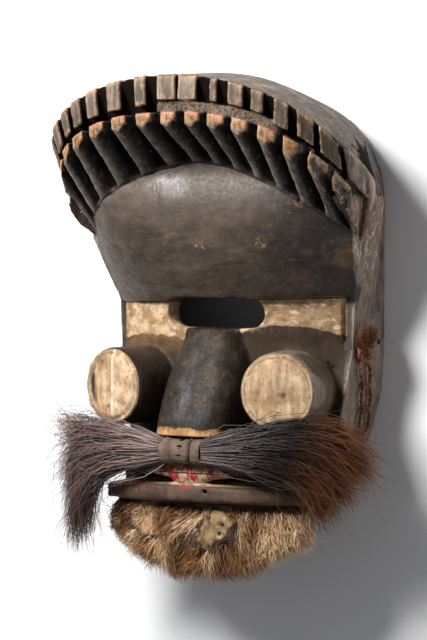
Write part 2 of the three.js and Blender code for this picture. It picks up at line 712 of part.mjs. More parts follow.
// Cord: a ring knot, chained loops and a frayed tuft along the wall, tied through its upper hole
function sideCord() {
  const { radius, loops, loopLength, loopHalf, topY, topZ, bottomZ, knotHalf, knotHalfWidth, tuft } = CORD;
  const pitch = loopLength - 2 * radius;
  const wallX = (y) => {
    const down = Math.max(0, RIM.lowerY - y) / RIM.bottom;
    return RIM.half * (1 - down ** RIM.lowerPower) ** (1 / RIM.lowerPower);
  };
  const zAt = (y) => lerp(topZ, bottomZ, (topY - y) / (loops * pitch));
  const ring = (middleY, halfLength, halfWidth, thick) => {
    const rings = turns(8).map((turn) => {
      const y = middleY + halfLength * Math.cos(turn);
      const at = vec(wallX(y) + thick + CLEARANCE, y, zAt(y) + halfWidth * Math.sin(turn));
      const out = vec(0, Math.cos(turn), Math.sin(turn));
      return turns(4).map((roll) =>
        at.clone().addScaledVector(out, thick * Math.cos(roll)).add(vec(thick * Math.sin(roll), 0, 0)),
      );
    });
    return solid(loft(rings, true));
  };
  const chain = steps(loops - 1, 0, loops - 1).map((i) =>
    ring(topY - knotHalf - (i + 0.5) * pitch, loopLength / 2, loopHalf, radius),
  );
  const knotX = wallX(topY) + 1.5 * radius + CLEARANCE;
  const knot = ring(topY, knotHalf, knotHalfWidth, 1.5 * radius);
  const frayed = steps(tuft.strands - 1, -1, 1).map((fan) => {
    const start = vec(knotX, topY, topZ + fan * 2);
    const endY = topY + tuft.length * (1 - 0.25 * fan ** 2);
    const end = vec(knotX + tuft.out, endY, topZ + fan * tuft.half - 2);
    return lock([start, mix(start, end, 0.5), end], [1.6, 1.5, 0.5], 1, 3);
  });
  const [holeY, holeZ] = HOLE.places[1];
  const plug = new THREE.CylinderGeometry(radius, radius, 12, 6).rotateZ(Math.PI / 2);
  plug.translate(knotX - 4, holeY, holeZ);
  const strap = lock(
    [vec(knotX, holeY, holeZ), vec(knotX, (holeY + topY) / 2, holeZ), vec(knotX, topY + knotHalf, topZ)],
    [radius, 1.2 * radius, radius],
    1,
    4,
  );
  return join([knot, ...chain, ...frayed, solid(plug), strap]);
}

const part = new THREE.Group();
part.add(mesh("mask_body", maskBody(), COLOURS.wood, 0.6));
part.add(mesh("moustache_hair", moustacheHair(), COLOURS.hair, 0.8));
part.add(mesh("moustache_band", moustacheBand(), COLOURS.hide, 0.8));
part.add(mesh("beard_hide", beard(), COLOURS.fur, 0.9));
part.add(mesh("side_cord", sideCord(), COLOURS.fibre, 0.9));

const box = new THREE.Box3().setFromObject(part);
part.position.set(-(box.min.x + box.max.x) / 2, -(box.min.y + box.max.y) / 2, -box.min.z);

export default part;
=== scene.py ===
# The looks of a carved wooden face mask with a toothed crest, tubular eyes, a hair moustache and a
# fur beard. Shapes are worked out in millimetres about the middle of the face, as the solids are
# drawn, and turned into the frame's metres when a piece is made.
import math

import bmesh
import bpy
import numpy as np
from mathutils import Matrix, Vector


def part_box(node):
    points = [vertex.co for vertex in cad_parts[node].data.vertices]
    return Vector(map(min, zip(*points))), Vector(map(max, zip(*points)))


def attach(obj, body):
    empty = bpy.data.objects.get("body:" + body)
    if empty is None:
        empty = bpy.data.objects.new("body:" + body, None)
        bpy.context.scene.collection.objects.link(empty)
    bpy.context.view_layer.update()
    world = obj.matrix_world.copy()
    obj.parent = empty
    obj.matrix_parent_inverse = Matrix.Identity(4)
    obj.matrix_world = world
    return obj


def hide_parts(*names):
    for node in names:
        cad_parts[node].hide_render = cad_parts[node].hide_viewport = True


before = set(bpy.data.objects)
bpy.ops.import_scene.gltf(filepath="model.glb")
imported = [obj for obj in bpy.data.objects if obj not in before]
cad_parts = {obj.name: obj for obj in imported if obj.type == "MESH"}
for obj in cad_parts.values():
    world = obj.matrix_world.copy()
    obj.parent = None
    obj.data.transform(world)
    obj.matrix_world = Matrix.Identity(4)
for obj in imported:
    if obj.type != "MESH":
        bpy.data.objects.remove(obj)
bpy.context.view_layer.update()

body_low, body_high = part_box("mask_body")
CROWN_TOP = 185.0
SHIFT = np.array([(body_low.x + body_high.x) * 500, body_high.y * 1000 - CROWN_TOP, 0.0])

# Camera fitted to the photograph, whose frame is 427 by 640 pixels
VIEW = {"azimuth": 32.0, "elevation": 2.0, "distance": 1900.0, "target": (-4.0, 0.0, 70.0)}
FOCAL_PX = 2533.3
LONG_SIDE_PX = 640.0
SENSOR = 36.0

# The carving's own curves, in millimetres
CREST_EDGE = {"half": 129.0, "middle_y": 112.0, "rise": 68.5, "low_z": 75.0, "high_z": 145.0}
GROOVE = {"half": 126.0, "middle_y": 85.0, "rise": 70.5, "low_z": 54.0, "high_z": 144.0, "power": 2.25}
CREASE = {"half": 115.0, "middle_y": 57.0, "rise": 59.5, "power": 1.55, "foot_share": 0.95}
CREST_ROUNDNESS = 3.2
GROOVE_HALF_WIDTH = 2.4
CREST_FOOT_Y = 84.0
FIN = {"face": 11.0, "widening": 0.07, "wider_from": 55.0}
FINS = [  # middle along the groove, width
    (-151, 20), (-128, 15), (-107, 15.5), (-86, 16), (-64, 16), (-41.5, 15), (-19, 14.7), (2.5, 14.3),
    (23, 14), (42.7, 15), (62, 14), (83.5, 15), (103, 14), (126.5, 19), (151, 20),
]
LEDGE = {"from": -8.0, "to": 92.0, "inner": -4.2, "outer": 4.8}
BROW = {"left": 12.0, "right": 18.5, "half": 102.0}
TEMPLE = {"low_y": 14.0, "rise": 46.0, "top_y": 92.0, "low_x": 106.0, "high_x": 112.5}
WALL = {"crown_z": 48.0, "side_z": 42.0, "side_x": 96.0, "chin_z": 46.0}
EYE = {"x": 72.5, "y": -50.0, "z": 106.5, "radius": 28.5, "splay": 11.5}
NOSE = {"root_y": -3.0, "base_y": -84.0, "root_half": 20.0, "full_half": 34.5, "full_at": 0.66}
JAW = {"half": 87.0, "power": 2.2}
LIP = {"top": -119.5, "bottom": -134.0, "left_drop": 3.5, "right_drop": 1.0, "side_drop": 24.0}
STRIP = {"half": 34.0, "middle_y": -111.5, "rise": 6.0}
KNOT = {"y": -95.0, "half": 17.5}
BEARD = {"half": 85.0, "bottom": -170.0, "tip_y": -190.0, "side_tip_y": -158.0, "z": 101.0, "lean": 6.0}
PATCH = {"x": 18.6, "y": -152.0, "half_width": 12.0, "half_height": 13.5, "slant": 0.55}
RIM = {"half": 104.0, "lower_y": -20.0, "bottom": 138.0, "power": 2.1}
CORD = {
    "radius": 1.5, "loops": 3, "loop_length": 21.0, "loop_half": 7.0, "top_y": -24.0, "top_z": 37.0,
    "bottom_z": 22.0, "knot_half": 6.0, "knot_half_width": 7.5, "hole": (-11.0, 37.0), "tuft_half": 16.0,
}

rng = np.random.default_rng(7)


def smoothstep(value, low, high):
    share = np.clip((value - low) / (high - low), 0, 1)
    return share * share * (3 - 2 * share)


def lerp(a, b, share):
    return a + (b - a) * share


def bend(value, power):
    """Sine or cosine bent so that it draws a superellipse of this power."""
    return np.sign(value) * np.abs(value) ** (2 / power)


def linear(red, green, blue):
    """A colour given as it looks on a screen, as the shader's linear values."""
    shares = [c / 255 for c in (red, green, blue)]
    return tuple(((s + 0.055) / 1.055) ** 2.4 if s > 0.04 else s / 12.92 for s in shares)


def noise(points, size, seed=0):
    """Smooth noise from -1 to 1 whose features are about size millimetres across."""
    place = points / size + seed * 17.13
    cell = np.floor(place).astype(np.int64)
    share = place - cell
    share = share * share * (3 - 2 * share)
    total = np.zeros(len(points))
    for corner in range(8):
        offset = np.array([corner & 1, (corner >> 1) & 1, (corner >> 2) & 1])
        at = cell + offset
        key = (at[:, 0] * 73856093) ^ (at[:, 1] * 19349663) ^ (at[:, 2] * 83492791) ^ (seed * 362437)
        key = ((key ^ (key >> 13)) * 1274126177) & 0xFFFFFFFF
        value = ((key ^ (key >> 15)) & 0xFFFF) / 65535
        total += value * np.prod(np.where(offset == 1, share, 1 - share), axis=1)
    return 2 * total - 1


def layers(points, size, count, seed=0):
    """Noise with finer and fainter layers on top of the first."""
    total = sum(noise(points, size / 2**i, seed + i) / 2**i for i in range(count))
    return total / (2 - 0.5 ** (count - 1))


# Meshes as arrays
def mesh_of(name, points, faces):
    """Mesh object from millimetre points and faces of equal length, smooth shaded."""
    mesh = bpy.data.meshes.new(name)
    faces = np.asarray(faces, np.int32)
    mesh.vertices.add(len(points))
    mesh.vertices.foreach_set("co", ((points + SHIFT) / 1000).astype(np.float32).ravel())
    mesh.loops.add(faces.size)
    mesh.loops.foreach_set("vertex_index", faces.ravel())
    mesh.polygons.add(len(faces))
    mesh.polygons.foreach_set("loop_start", np.arange(0, faces.size, faces.shape[1], dtype=np.int32))
    mesh.update(calc_edges=True)
    mesh.validate()
    mesh.shade_smooth()
    piece = bpy.data.objects.new(name, mesh)
    bpy.context.scene.collection.objects.link(piece)
    return piece


def points_of(mesh):
    flat = np.empty(len(mesh.vertices) * 3, np.float32)
    mesh.vertices.foreach_get("co", flat)
    return flat.reshape(-1, 3).astype(float) * 1000 - SHIFT


def set_points(mesh, points):
    mesh.vertices.foreach_set("co", ((points + SHIFT) / 1000).astype(np.float32).ravel())
    mesh.update()


def normals_of(mesh):
    flat = np.empty(len(mesh.vertices) * 3, np.float32)
    mesh.vertex_normals.foreach_get("vector", flat)
    return flat.reshape(-1, 3).astype(float)


class Neighbours:
    """Averages of a value over the points joined to each point by an edge."""

    def __init__(self, mesh):
        flat = np.empty(len(mesh.edges) * 2, np.int32)
        mesh.edges.foreach_get("vertices", flat)
        edges = flat.reshape(-1, 2)
        self.count = len(mesh.vertices)
        self.start = np.concatenate([edges[:, 0], edges[:, 1]])
        self.end = np.concatenate([edges[:, 1], edges[:, 0]])
        self.degree = np.maximum(1, np.bincount(self.start, minlength=self.count))

    def average(self, values):
        columns = values.reshape(self.count, -1)
        means = [
            np.bincount(self.start, weights=columns[self.end, i], minlength=self.count) / self.degree
            for i in range(columns.shape[1])
        ]
        return np.stack(means, axis=1).reshape(values.shape)

    def relax(self, values, rounds, weight=0.5):
        for _ in range(rounds):
            values = values + (self.average(values) - values) * weight
        return values


def give(mesh, name, values):
    """A number for each point, for the material to read."""
    attribute = mesh.attributes.new(name, "FLOAT", "POINT")
    attribute.data.foreach_set("value", np.asarray(values, np.float32))


# Places on the carving
def crest_height(share, low, high):
    rounded = np.maximum(0, 1 - np.abs(share) ** CREST_ROUNDNESS) ** (1 / CREST_ROUNDNESS)
    return lerp(low, high, rounded)


def groove_point(angle):
    share = bend(np.sin(angle), GROOVE["power"])
    y = GROOVE["middle_y"] + GROOVE["rise"] * bend(np.maximum(0, np.cos(angle)), GROOVE["power"])
    return np.stack([GROOVE["half"] * share, y, crest_height(share, GROOVE["low_z"], GROOVE["high_z"])], -1)


def edge_point(angle):
    share = bend(np.sin(angle), GROOVE["power"])
    y = CREST_EDGE["middle_y"] + CREST_EDGE["rise"] * np.sqrt(np.maximum(0, 1 - share**2))
    z = crest_height(share, CREST_EDGE["low_z"], CREST_EDGE["high_z"])
    return np.stack([CREST_EDGE["half"] * share, y, z], -1)


def crease_y(x):
    share = np.clip(np.abs(x) / CREASE["half"], 0, 1)
    return CREASE["middle_y"] + CREASE["rise"] * (1 - share ** CREASE["power"]) ** (1 / CREASE["power"])


# Rows of points along the groove, the teeth's edge and the feet of the fins
ANGLES = np.linspace(-math.pi / 2, math.pi / 2, 1201)
VALLEY = groove_point(ANGLES)
EDGE = edge_point(ANGLES)
FOOT = VALLEY * np.array([CREASE["foot_share"], 0, 1])
FOOT[:, 1] = crease_y(FOOT[:, 0])
ARCS = np.concatenate([[0], np.cumsum(np.linalg.norm(np.diff(VALLEY, axis=0), axis=1))])
ARCS -= ARCS[len(ARCS) // 2]


def at_row(table, row):
    return np.stack([np.interp(row, np.arange(len(table)), table[:, i]) for i in range(3)], 1)


def sweep(points, ends, turn):
    """For each point the straight line from the groove to the ends that passes through it: the arc
    it starts from, the share of the way along it, its length, and the height of the line there."""
    low = np.zeros(len(points))
    high = np.full(len(points), len(ANGLES) - 1.0)
    for _ in range(16):
        row = (low + high) / 2
        start = at_row(VALLEY, row)
        line = at_row(ends, row) - start
        reach = points - start
        beyond = turn * (line[:, 0] * reach[:, 1] - line[:, 1] * reach[:, 0]) < 0
        low = np.where(beyond, row, low)
        high = np.where(beyond, high, row)
    length = np.maximum(np.hypot(line[:, 0], line[:, 1]), 1e-6)
    share = (line[:, 0] * reach[:, 0] + line[:, 1] * reach[:, 1]) / length**2
    arc = np.interp(row, np.arange(len(ARCS)), ARCS)
    return arc, share, length, start[:, 2] + line[:, 2] * np.clip(share, 0, 1), line / length[:, None]


class Crest:
    """Where each point lies round the crest: its arc along the groove, how far it is outside the
    groove, and how far it has sunk below the carved faces."""

    def __init__(self, points):
        power = GROOVE["power"]
        x = np.abs(points[:, 0]) / GROOVE["half"]
        y = np.maximum(0, points[:, 1] - GROOVE["middle_y"]) / GROOVE["rise"]
        outside = x**power + y**power > 1
        arc, share, length, face, self.direction = sweep(points, EDGE, 1)
        inner_arc, self.down_fin, inner_length, _, _ = sweep(points, FOOT, -1)
        valley_z = np.interp(inner_arc, ARCS, VALLEY[:, 2])
        self.arc = np.where(outside, arc, inner_arc)
        self.outward = np.where(outside, share * length, -self.down_fin * inner_length)
        self.span = length
        self.sunk = np.where(outside, face, valley_z) - points[:, 2]

    def across_fin(self):
        """Share of the way from the left edge of a fin to the left edge of the next."""
        last, last_width = FINS[-1]
        lefts = [middle - width / 2 for middle, width in FINS] + [last + last_width / 2]
        return np.interp(self.arc, lefts, np.arange(len(lefts))) % 1.0

    def on_fins(self):
        return smoothstep(self.down_fin, 0.14, 0.3) * (1 - smoothstep(self.down_fin, 0.9, 1.0))

    def ridge(self):
        across = self.across_fin()
        return smoothstep(across, 0.0, 0.06) * (1 - smoothstep(across, 0.12, 0.42))

    def flute(self):
        across = self.across_fin()
        return np.maximum(smoothstep(across, 0.34, 0.66), 1 - smoothstep(across, 0.0, 0.05))


def brow_y(x):
    return lerp(BROW["left"], BROW["right"], np.clip((x / BROW["half"] + 1) / 2, 0, 1))


def kaolin_bottom(x):
    """Lower border of the white band, which arches over each lid."""
    left = -11.5 - 5.5 * ((x + 60) / 45) ** 2
    right = -2.5 - 5.5 * ((x - 58) / 33) ** 2
    return np.where(x < 0, np.maximum(left, -19), np.maximum(right, -10))


def arc_z(x, front, drop):
    return front - drop * (np.abs(x) / JAW["half"]) ** JAW["power"]


def lip_line(x, side):
    """Upper border of the lower lip, with side 1, or its lower one, with side -1."""
    across = x / JAW["half"]
    drop = np.where(across < 0, LIP["left_drop"], LIP["right_drop"]) * across**2
    half = (LIP["top"] - LIP["bottom"]) / 2 * (1 - 0.18 * np.abs(across) ** 6)
    return (LIP["top"] + LIP["bottom"]) / 2 - drop + side * half


def nose_half(y):
    share = np.clip((NOSE["root_y"] - y) / (NOSE["root_y"] - NOSE["base_y"]), 0, 1)
    swell = np.sin(math.pi / 2 * np.minimum(1, share / NOSE["full_at"]))
    return lerp(NOSE["root_half"], NOSE["full_half"], swell)


class EyePlace:
    """Points in an eye's own axes: along it, across it and up it."""

    def __init__(self, points, side):
        splay = math.radians(side * EYE["splay"])
        offset = points - np.array([side * EYE["x"], EYE["y"], EYE["z"]])
        self.axis = np.array([math.sin(splay), 0.0, math.cos(splay)])
        self.out = np.array([math.cos(splay), 0.0, -math.sin(splay)])
        self.across = offset @ self.out
        self.along = offset @ self.axis
        self.up = offset[:, 1]
        self.radius = np.hypot(self.across, self.up)
        self.on_tube = (self.radius < EYE["radius"] + 3) & (self.along > -36)


# Wood: the solid remeshed finely, smoothed between its edges, and carved further
WOOD_VOXEL = 1.1
WOOD_TRIANGLES = 193000
SMOOTHING_ROUNDS = 70
NOSE_DENTS = [  # x, y, radius, depth
    (-20, -60, 3.0, 0.9), (-15, -54, 2.2, 0.7), (-25, -66, 2.4, 0.8), (2, -26, 5.0, 0.8),
    (-8, -12, 4.0, 0.6), (14, -48, 4.5, 0.6),
]
WORM_HOLE = {"x": 87.0, "y": 88.0, "radius": 2.6}


def evaluated(piece):
    bpy.context.view_layer.update()
    graph = bpy.context.evaluated_depsgraph_get()
    made = bpy.data.meshes.new_from_object(piece.evaluated_get(graph))
    old = piece.data
    piece.modifiers.clear()
    piece.data = made
    bpy.data.meshes.remove(old)
    return made


def welded(node):
    """A copy of a solid's mesh whose faces share their corners."""
    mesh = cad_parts[node].data.copy()
    shape = bmesh.new()
    shape.from_mesh(mesh)
    bmesh.ops.remove_doubles(shape, verts=shape.verts, dist=1e-6)
    shape.to_mesh(mesh)
    shape.free()
    mesh.materials.clear()
    return mesh


def remeshed(name, node, voxel):
    """A solid's shape as a fine even mesh."""
    piece = bpy.data.objects.new(name, welded(node))
    bpy.context.scene.collection.objects.link(piece)
    remesh = piece.modifiers.new("fine", "REMESH")
    remesh.mode = "VOXEL"
    remesh.voxel_size = voxel / 1000
    evaluated(piece)
    return piece


def smooth_facets(mesh, points):
    """Rounds the flat facets and leaves the carved edges as they are."""
    near = Neighbours(mesh)
    spread = near.relax(normals_of(mesh), 3)
    sharpness = 1 - np.linalg.norm(spread, axis=1)
    sharpness = np.maximum(sharpness, near.average(sharpness))
    weight = 0.55 * (1 - smoothstep(sharpness, 0.012, 0.045))
    for _ in range(SMOOTHING_ROUNDS):
        points = points + (near.average(points) - points) * weight[:, None]
    return near.relax(points, 2, 0.4), near


def round_eyes(points):
    for side in (-1, 1):
        eye = EyePlace(points, side)
        tube = eye.on_tube & (eye.radius > EYE["radius"] - 2.5) & (eye.along < -2.2)
        outward = eye.across[:, None] * eye.out + eye.up[:, None] * np.array([0, 1, 0])
        outward /= np.maximum(eye.radius, 1e-6)[:, None]
        share = 0.9 * smoothstep(-eye.along, 2.2, 5) * tube
        points = points + outward * ((EYE["radius"] + 0.7 - eye.radius) * share)[:, None]
    return points


def carve_eyes(points):
    """Each eye's front: two flat halves that meet in a low upright ridge, inside a cut margin."""
    for side, ridge_at, left_slope, right_slope in ((-1, 3.0, 0.17, 0.07), (1, 1.0, 0.1, 0.1)):
        eye = EyePlace(points, side)
        front = smoothstep(eye.along, -2.2, -0.8) * (eye.radius < EYE["radius"] + 1)
        slope = np.where(eye.across < ridge_at, left_slope, right_slope)
        roof = 1.6 - slope * np.abs(eye.across - ridge_at)
        inside = 1 - smoothstep(eye.radius, 22.5, 24.5)
        margin = -0.5 * np.exp(-(((eye.radius - 25.0) / 0.8) ** 2))
        wear = 0.45 * layers(points * np.array([1.0, 0.35, 1.0]), 5, 3, 31)
        depth = front * (inside * (roof + wear) + margin)
        points = points + depth[:, None] * eye.axis
    return points


def dent(points, x, y, radius, depth):
    """How far the front is pressed in round one place."""
    away = ((points[:, 0] - x) ** 2 + (points[:, 1] - y) ** 2) / radius**2
    return depth * np.exp(-away) * (points[:, 2] > 60)


def roughen(points, normals, crest, edge):
    """Tool marks: broad adze facets, fine grain, dents, chips on the standing edges of the teeth, the
    crumbled ledge, the crease over the forehead and the flutes between the fins' ridges."""
    x, y = points[:, 0], points[:, 1]
    adze = 0.4 * layers(points, 24, 2, 3) + 0.07 * layers(points, 4, 3, 11)
    grain = 0.16 * noise(points * np.array([1.0, 0.12, 1.0]), 1.6, 5)
    on_teeth = smoothstep(crest.outward, 1, 2.5) * (1 - smoothstep(crest.sunk, 2, 5)) * (y > CREST_FOOT_Y)
    along_tooth = np.stack([crest.arc, 0.2 * crest.outward, np.zeros(len(points))], 1)
    teeth_wear = on_teeth * 0.55 * layers(along_tooth, 4.5, 3, 8)
    chips = smoothstep(layers(points, 4, 2, 21), 0.2, 0.6) * smoothstep(edge, 0.15, 0.5) * 0.7 * on_teeth
    crumbs = (crest.outward > LEDGE["inner"]) & (crest.outward < LEDGE["outer"]) & (crest.sunk > 1)
    crumbs = crumbs & (crest.arc > LEDGE["from"]) & (crest.arc < LEDGE["to"]) & (y > CREST_FOOT_Y)
    crumble = crumbs * 0.9 * layers(points, 5, 3, 14)
    dents = sum(dent(points, *place) for place in NOSE_DENTS)
    dents += dent(points, WORM_HOLE["x"], WORM_HOLE["y"], WORM_HOLE["radius"] * 0.6, 1.8)
    over_crease = y - crease_y(x) + 0.8 * noise(points, 9, 17)
    crease = 0.9 * np.exp(-((over_crease / 1.3) ** 2)) * (np.abs(x) < 112) * (y > 55) * (normals[:, 2] > 0)
    flutes = 2.4 * crest.flute() * crest.on_fins() * (np.abs(crest.arc) < 160) * (normals[:, 2] > 0)
    depth = adze + grain + teeth_wear + crumble - chips - dents - crease - flutes
    return points + normals * depth[:, None]


def carve_wood():
    piece = remeshed("carved_wood", "mask_body", WOOD_VOXEL)
    mesh = piece.data
    points, near = smooth_facets(mesh, points_of(mesh))
    points = round_eyes(points)
    set_points(mesh, points)
    normals = normals_of(mesh)
    edge = np.einsum("ij,ij->i", points - near.relax(points, 5), normals)
    points = roughen(points, normals, Crest(points), edge)
    set_points(mesh, carve_eyes(points))
    fewer = piece.modifiers.new("fewer", "DECIMATE")
    mesh.calc_loop_triangles()
    fewer.ratio = min(1, WOOD_TRIANGLES / len(mesh.loop_triangles))
    fewer.use_collapse_triangulate = True
    evaluated(piece).shade_smooth()
    return piece


def temple_x(y):
    """Where the bare wall begins beside the forehead, seen from the front."""
    return lerp(TEMPLE["low_x"], TEMPLE["high_x"], np.clip((y - TEMPLE["low_y"]) / TEMPLE["rise"], 0, 1))


def bare_wall(points, normals, crest, rim):
    """How far each point belongs to the bare wood of the outer walls and the rim, from 0 to 1."""
    x, y, z = points.T
    on_crest = y > CREST_FOOT_Y
    beside_face = y <= TEMPLE["top_y"]
    radial = np.einsum("ij,ij->i", normals[:, :2], crest.direction[:, :2])
    beyond_edge = (crest.outward > crest.span - 4) | ((crest.outward > 7) & (crest.sunk > 14))
    beyond_edge |= z < WALL["crown_z"]
    crown = smoothstep(radial, 0.5, 0.75) * beyond_edge * on_crest
    low_part = beside_face & ((y <= TEMPLE["low_y"]) | (z < WALL["side_z"]))
    side = smoothstep(np.abs(normals[:, 0]), 0.35, 0.6) * (np.abs(x) > WALL["side_x"]) * low_part
    at_temple = beside_face & (y > TEMPLE["low_y"]) & (crest.outward < 2)
    temple = smoothstep(np.abs(x) - temple_x(y), -2, 2) * at_temple
    from_middle = np.hypot(x / RIM["half"], (y - RIM["lower_y"]) / RIM["bottom"])
    chin = (z < WALL["chin_z"]) & (y < RIM["lower_y"]) & (normals[:, 2] < 0.6) & (from_middle > 0.93)
    crest_end = smoothstep(crest.arc, 155, 159) * (crest.outward > -GROOVE_HALF_WIDTH) * on_crest
    return np.maximum.reduce([crown, side, temple, chin.astype(float), rim.astype(float), crest_end])


def wood_fields(piece):
    """Gives each point smooth measures of where it lies on the carving, which the material cuts into
    areas, and returns their names."""
    mesh = piece.data
    points = points_of(mesh)
    normals = normals_of(mesh)
    near = Neighbours(mesh)
    x, y, z = points.T
    crest = Crest(points)
    rim = (z < 1.5) & (normals[:, 2] < -0.8)
    wall = bare_wall(points, normals, crest, rim)
    hollow = (normals[:, 2] < -0.05) & (crest.outward < -12) & (z < 95) & ~rim & (wall < 0.5)
    inside_nose = nose_half(y) + 1.6 - np.abs(x)
    strip_rise = STRIP["rise"] * np.sqrt(np.maximum(0, 1 - (x / STRIP["half"]) ** 2))
    fields = {
        "edge": np.einsum("ij,ij->i", points - near.relax(points, 4), normals),
        "ridge": crest.ridge() * crest.on_fins(),
        "flute": crest.flute() * crest.on_fins(),
        "outward": crest.outward,
        "arc": crest.arc,
        "sunk": crest.sunk,
        "from_edge": crest.span - crest.outward,
        "facing_up": normals[:, 2],
        "over_crease": y - crease_y(x),
        "under_brow": brow_y(x) - y,
        "over_band": y - kaolin_bottom(x),
        "wall": near.relax(wall, 1),
        "hollow": near.relax(hollow.astype(float), 1),
        "nose": np.minimum.reduce([inside_nose, NOSE["root_y"] + 2 - y, y - NOSE["base_y"] + 2, z - 62]),
        "strip": np.minimum(strip_rise + 0.6 - np.abs(y - STRIP["middle_y"]), z - 103),
        "jaw": np.minimum.reduce([-84.5 - y, z - 60, JAW["half"] + 3 - np.abs(x)]),
        "under_lip_top": lip_line(x, 1) - y,
    }
    eyes = [EyePlace(points, side) for side in (-1, 1)]
    for measure in ("radius", "along", "across"):
        left, right = (getattr(eye, measure) for eye in eyes)
        fields["eye_" + measure] = np.where(x < 0, left, right)
    for name, values in fields.items():
        give(mesh, name, values)
    return list(fields)


# Materials
class Field:
    """A number that a material works out at each place, with ordinary arithmetic. Between two of them
    & gives the smaller and | the larger, and ~ takes one from 1."""

    def __init__(self, shader, socket):
        self.shader = shader
        self.socket = socket

    def combine(self, operation, other, swapped=False):
        first, second = (other, self) if swapped else (self, other)
        made = self.shader.node("ShaderNodeMath", operation=operation)
        self.shader.put(made.inputs[0], first)
        self.shader.put(made.inputs[1], second)
        return Field(self.shader, made.outputs[0])

    def __add__(self, other):
        return self.combine("ADD", other)

    def __sub__(self, other):
        return self.combine("SUBTRACT", other)

    def __rsub__(self, other):
        return self.combine("SUBTRACT", other, True)

    def __mul__(self, other):
        return self.combine("MULTIPLY", other)

    def __and__(self, other):
        return self.combine("MINIMUM", other)

    def __or__(self, other):
        return self.combine("MAXIMUM", other)

    def __invert__(self):
        return 1.0 - self

    def size(self):
        return self.combine("ABSOLUTE", 0.0)

    def wave(self, period):
        """Sine with this period in the field's own unit."""
        return (self * (2 * math.pi / period)).combine("SINE", 0.0)

    def between(self, low, high, start=0.0, end=1.0):
        inputs = {"Value": self, "From Min": low, "From Max": high, "To Min": start, "To Max": end}
        made = self.shader.node("ShaderNodeMapRange", inputs, clamp=True)
        return Field(self.shader, made.outputs["Result"])

    def above(self, border, soft=0.4):
        return self.between(border - soft, border + soft)

    def below(self, border, soft=0.4):
        return self.between(border - soft, border + soft, 1.0, 0.0)


class Shader:
    """A node material built a node at a time."""

    def __init__(self, name):
        self.material = bpy.data.materials.new(name)
        self.material.use_nodes = True
        self.tree = self.material.node_tree
        self.surface = self.tree.nodes["Principled BSDF"]

    def node(self, kind, inputs=None, **settings):
        made = self.tree.nodes.new(kind)
        for name, value in settings.items():
            setattr(made, name, value)
        for name, value in (inputs or {}).items():
            self.put(made.inputs[name], value)
        return made

    def put(self, socket, value):
        if isinstance(value, Field):
            value = value.socket
        if isinstance(value, bpy.types.NodeSocket):
            self.tree.links.new(value, socket)
        elif isinstance(value, tuple) and socket.type == "RGBA":
            socket.default_value = (*value, 1.0)
        else:
            socket.default_value = value

    def attribute(self, name):
        return Field(self, self.node("ShaderNodeAttribute", attribute_name=name).outputs["Fac"])

    def millimetres(self):
        """The place on the carving, in the unit and frame of the constants above."""
        at = self.node("ShaderNodeTexCoord").outputs["Object"]
        shift = tuple(float(-s) for s in SHIFT)
        inputs = {"Vector": at, "Scale": (1000, 1000, 1000), "Location": shift}
        return self.node("ShaderNodeMapping", inputs).outputs["Vector"]

    def axes(self, place):
        apart = self.node("ShaderNodeSeparateXYZ", {"Vector": place})
        return [Field(self, apart.outputs[name]) for name in "XYZ"]

    def noise(self, size, detail, stretch=(1, 1, 1), place=None):
        """Noise about 0.5 with features about size millimetres across."""
        at = place or self.millimetres()
        if stretch != (1, 1, 1):
            at = self.node("ShaderNodeMapping", {"Vector": at, "Scale": stretch}).outputs["Vector"]
        inputs = {"Vector": at, "Scale": 1 / size, "Detail": detail, "Roughness": 0.55}
        return Field(self, self.node("ShaderNodeTexNoise", inputs).outputs["Fac"])

    def mix(self, share, a, b, blend="MIX"):
        made = self.node("ShaderNodeMix", data_type="RGBA", blend_type=blend)
        self.put(made.inputs[0], share)
        self.put(made.inputs[6], a)
        self.put(made.inputs[7], b)
        return made.outputs[2]

    def mix_number(self, share, a, b):
        made = self.node("ShaderNodeMix", data_type="FLOAT")
        self.put(made.inputs[0], share)
        self.put(made.inputs[2], a)
        self.put(made.inputs[3], b)
        return Field(self, made.outputs[0])

    def shaded(self, colour, brightness):
        inputs = {channel: brightness for channel in ("Red", "Green", "Blue")}
        grey = self.node("ShaderNodeCombineColor", inputs)
        return self.mix(1.0, colour, grey.outputs[0], "MULTIPLY")

    def finish(self, colour, rough, height=None, depth=0.2):
        self.put(self.surface.inputs["Base Color"], colour)
        self.put(self.surface.inputs["Roughness"], rough)
        if height is not None:
            bump = self.node("ShaderNodeBump", {"Strength": 1.0, "Distance": depth / 1000, "Height": height})
            self.put(self.surface.inputs["Normal"], bump.outputs["Normal"])
        return self.material


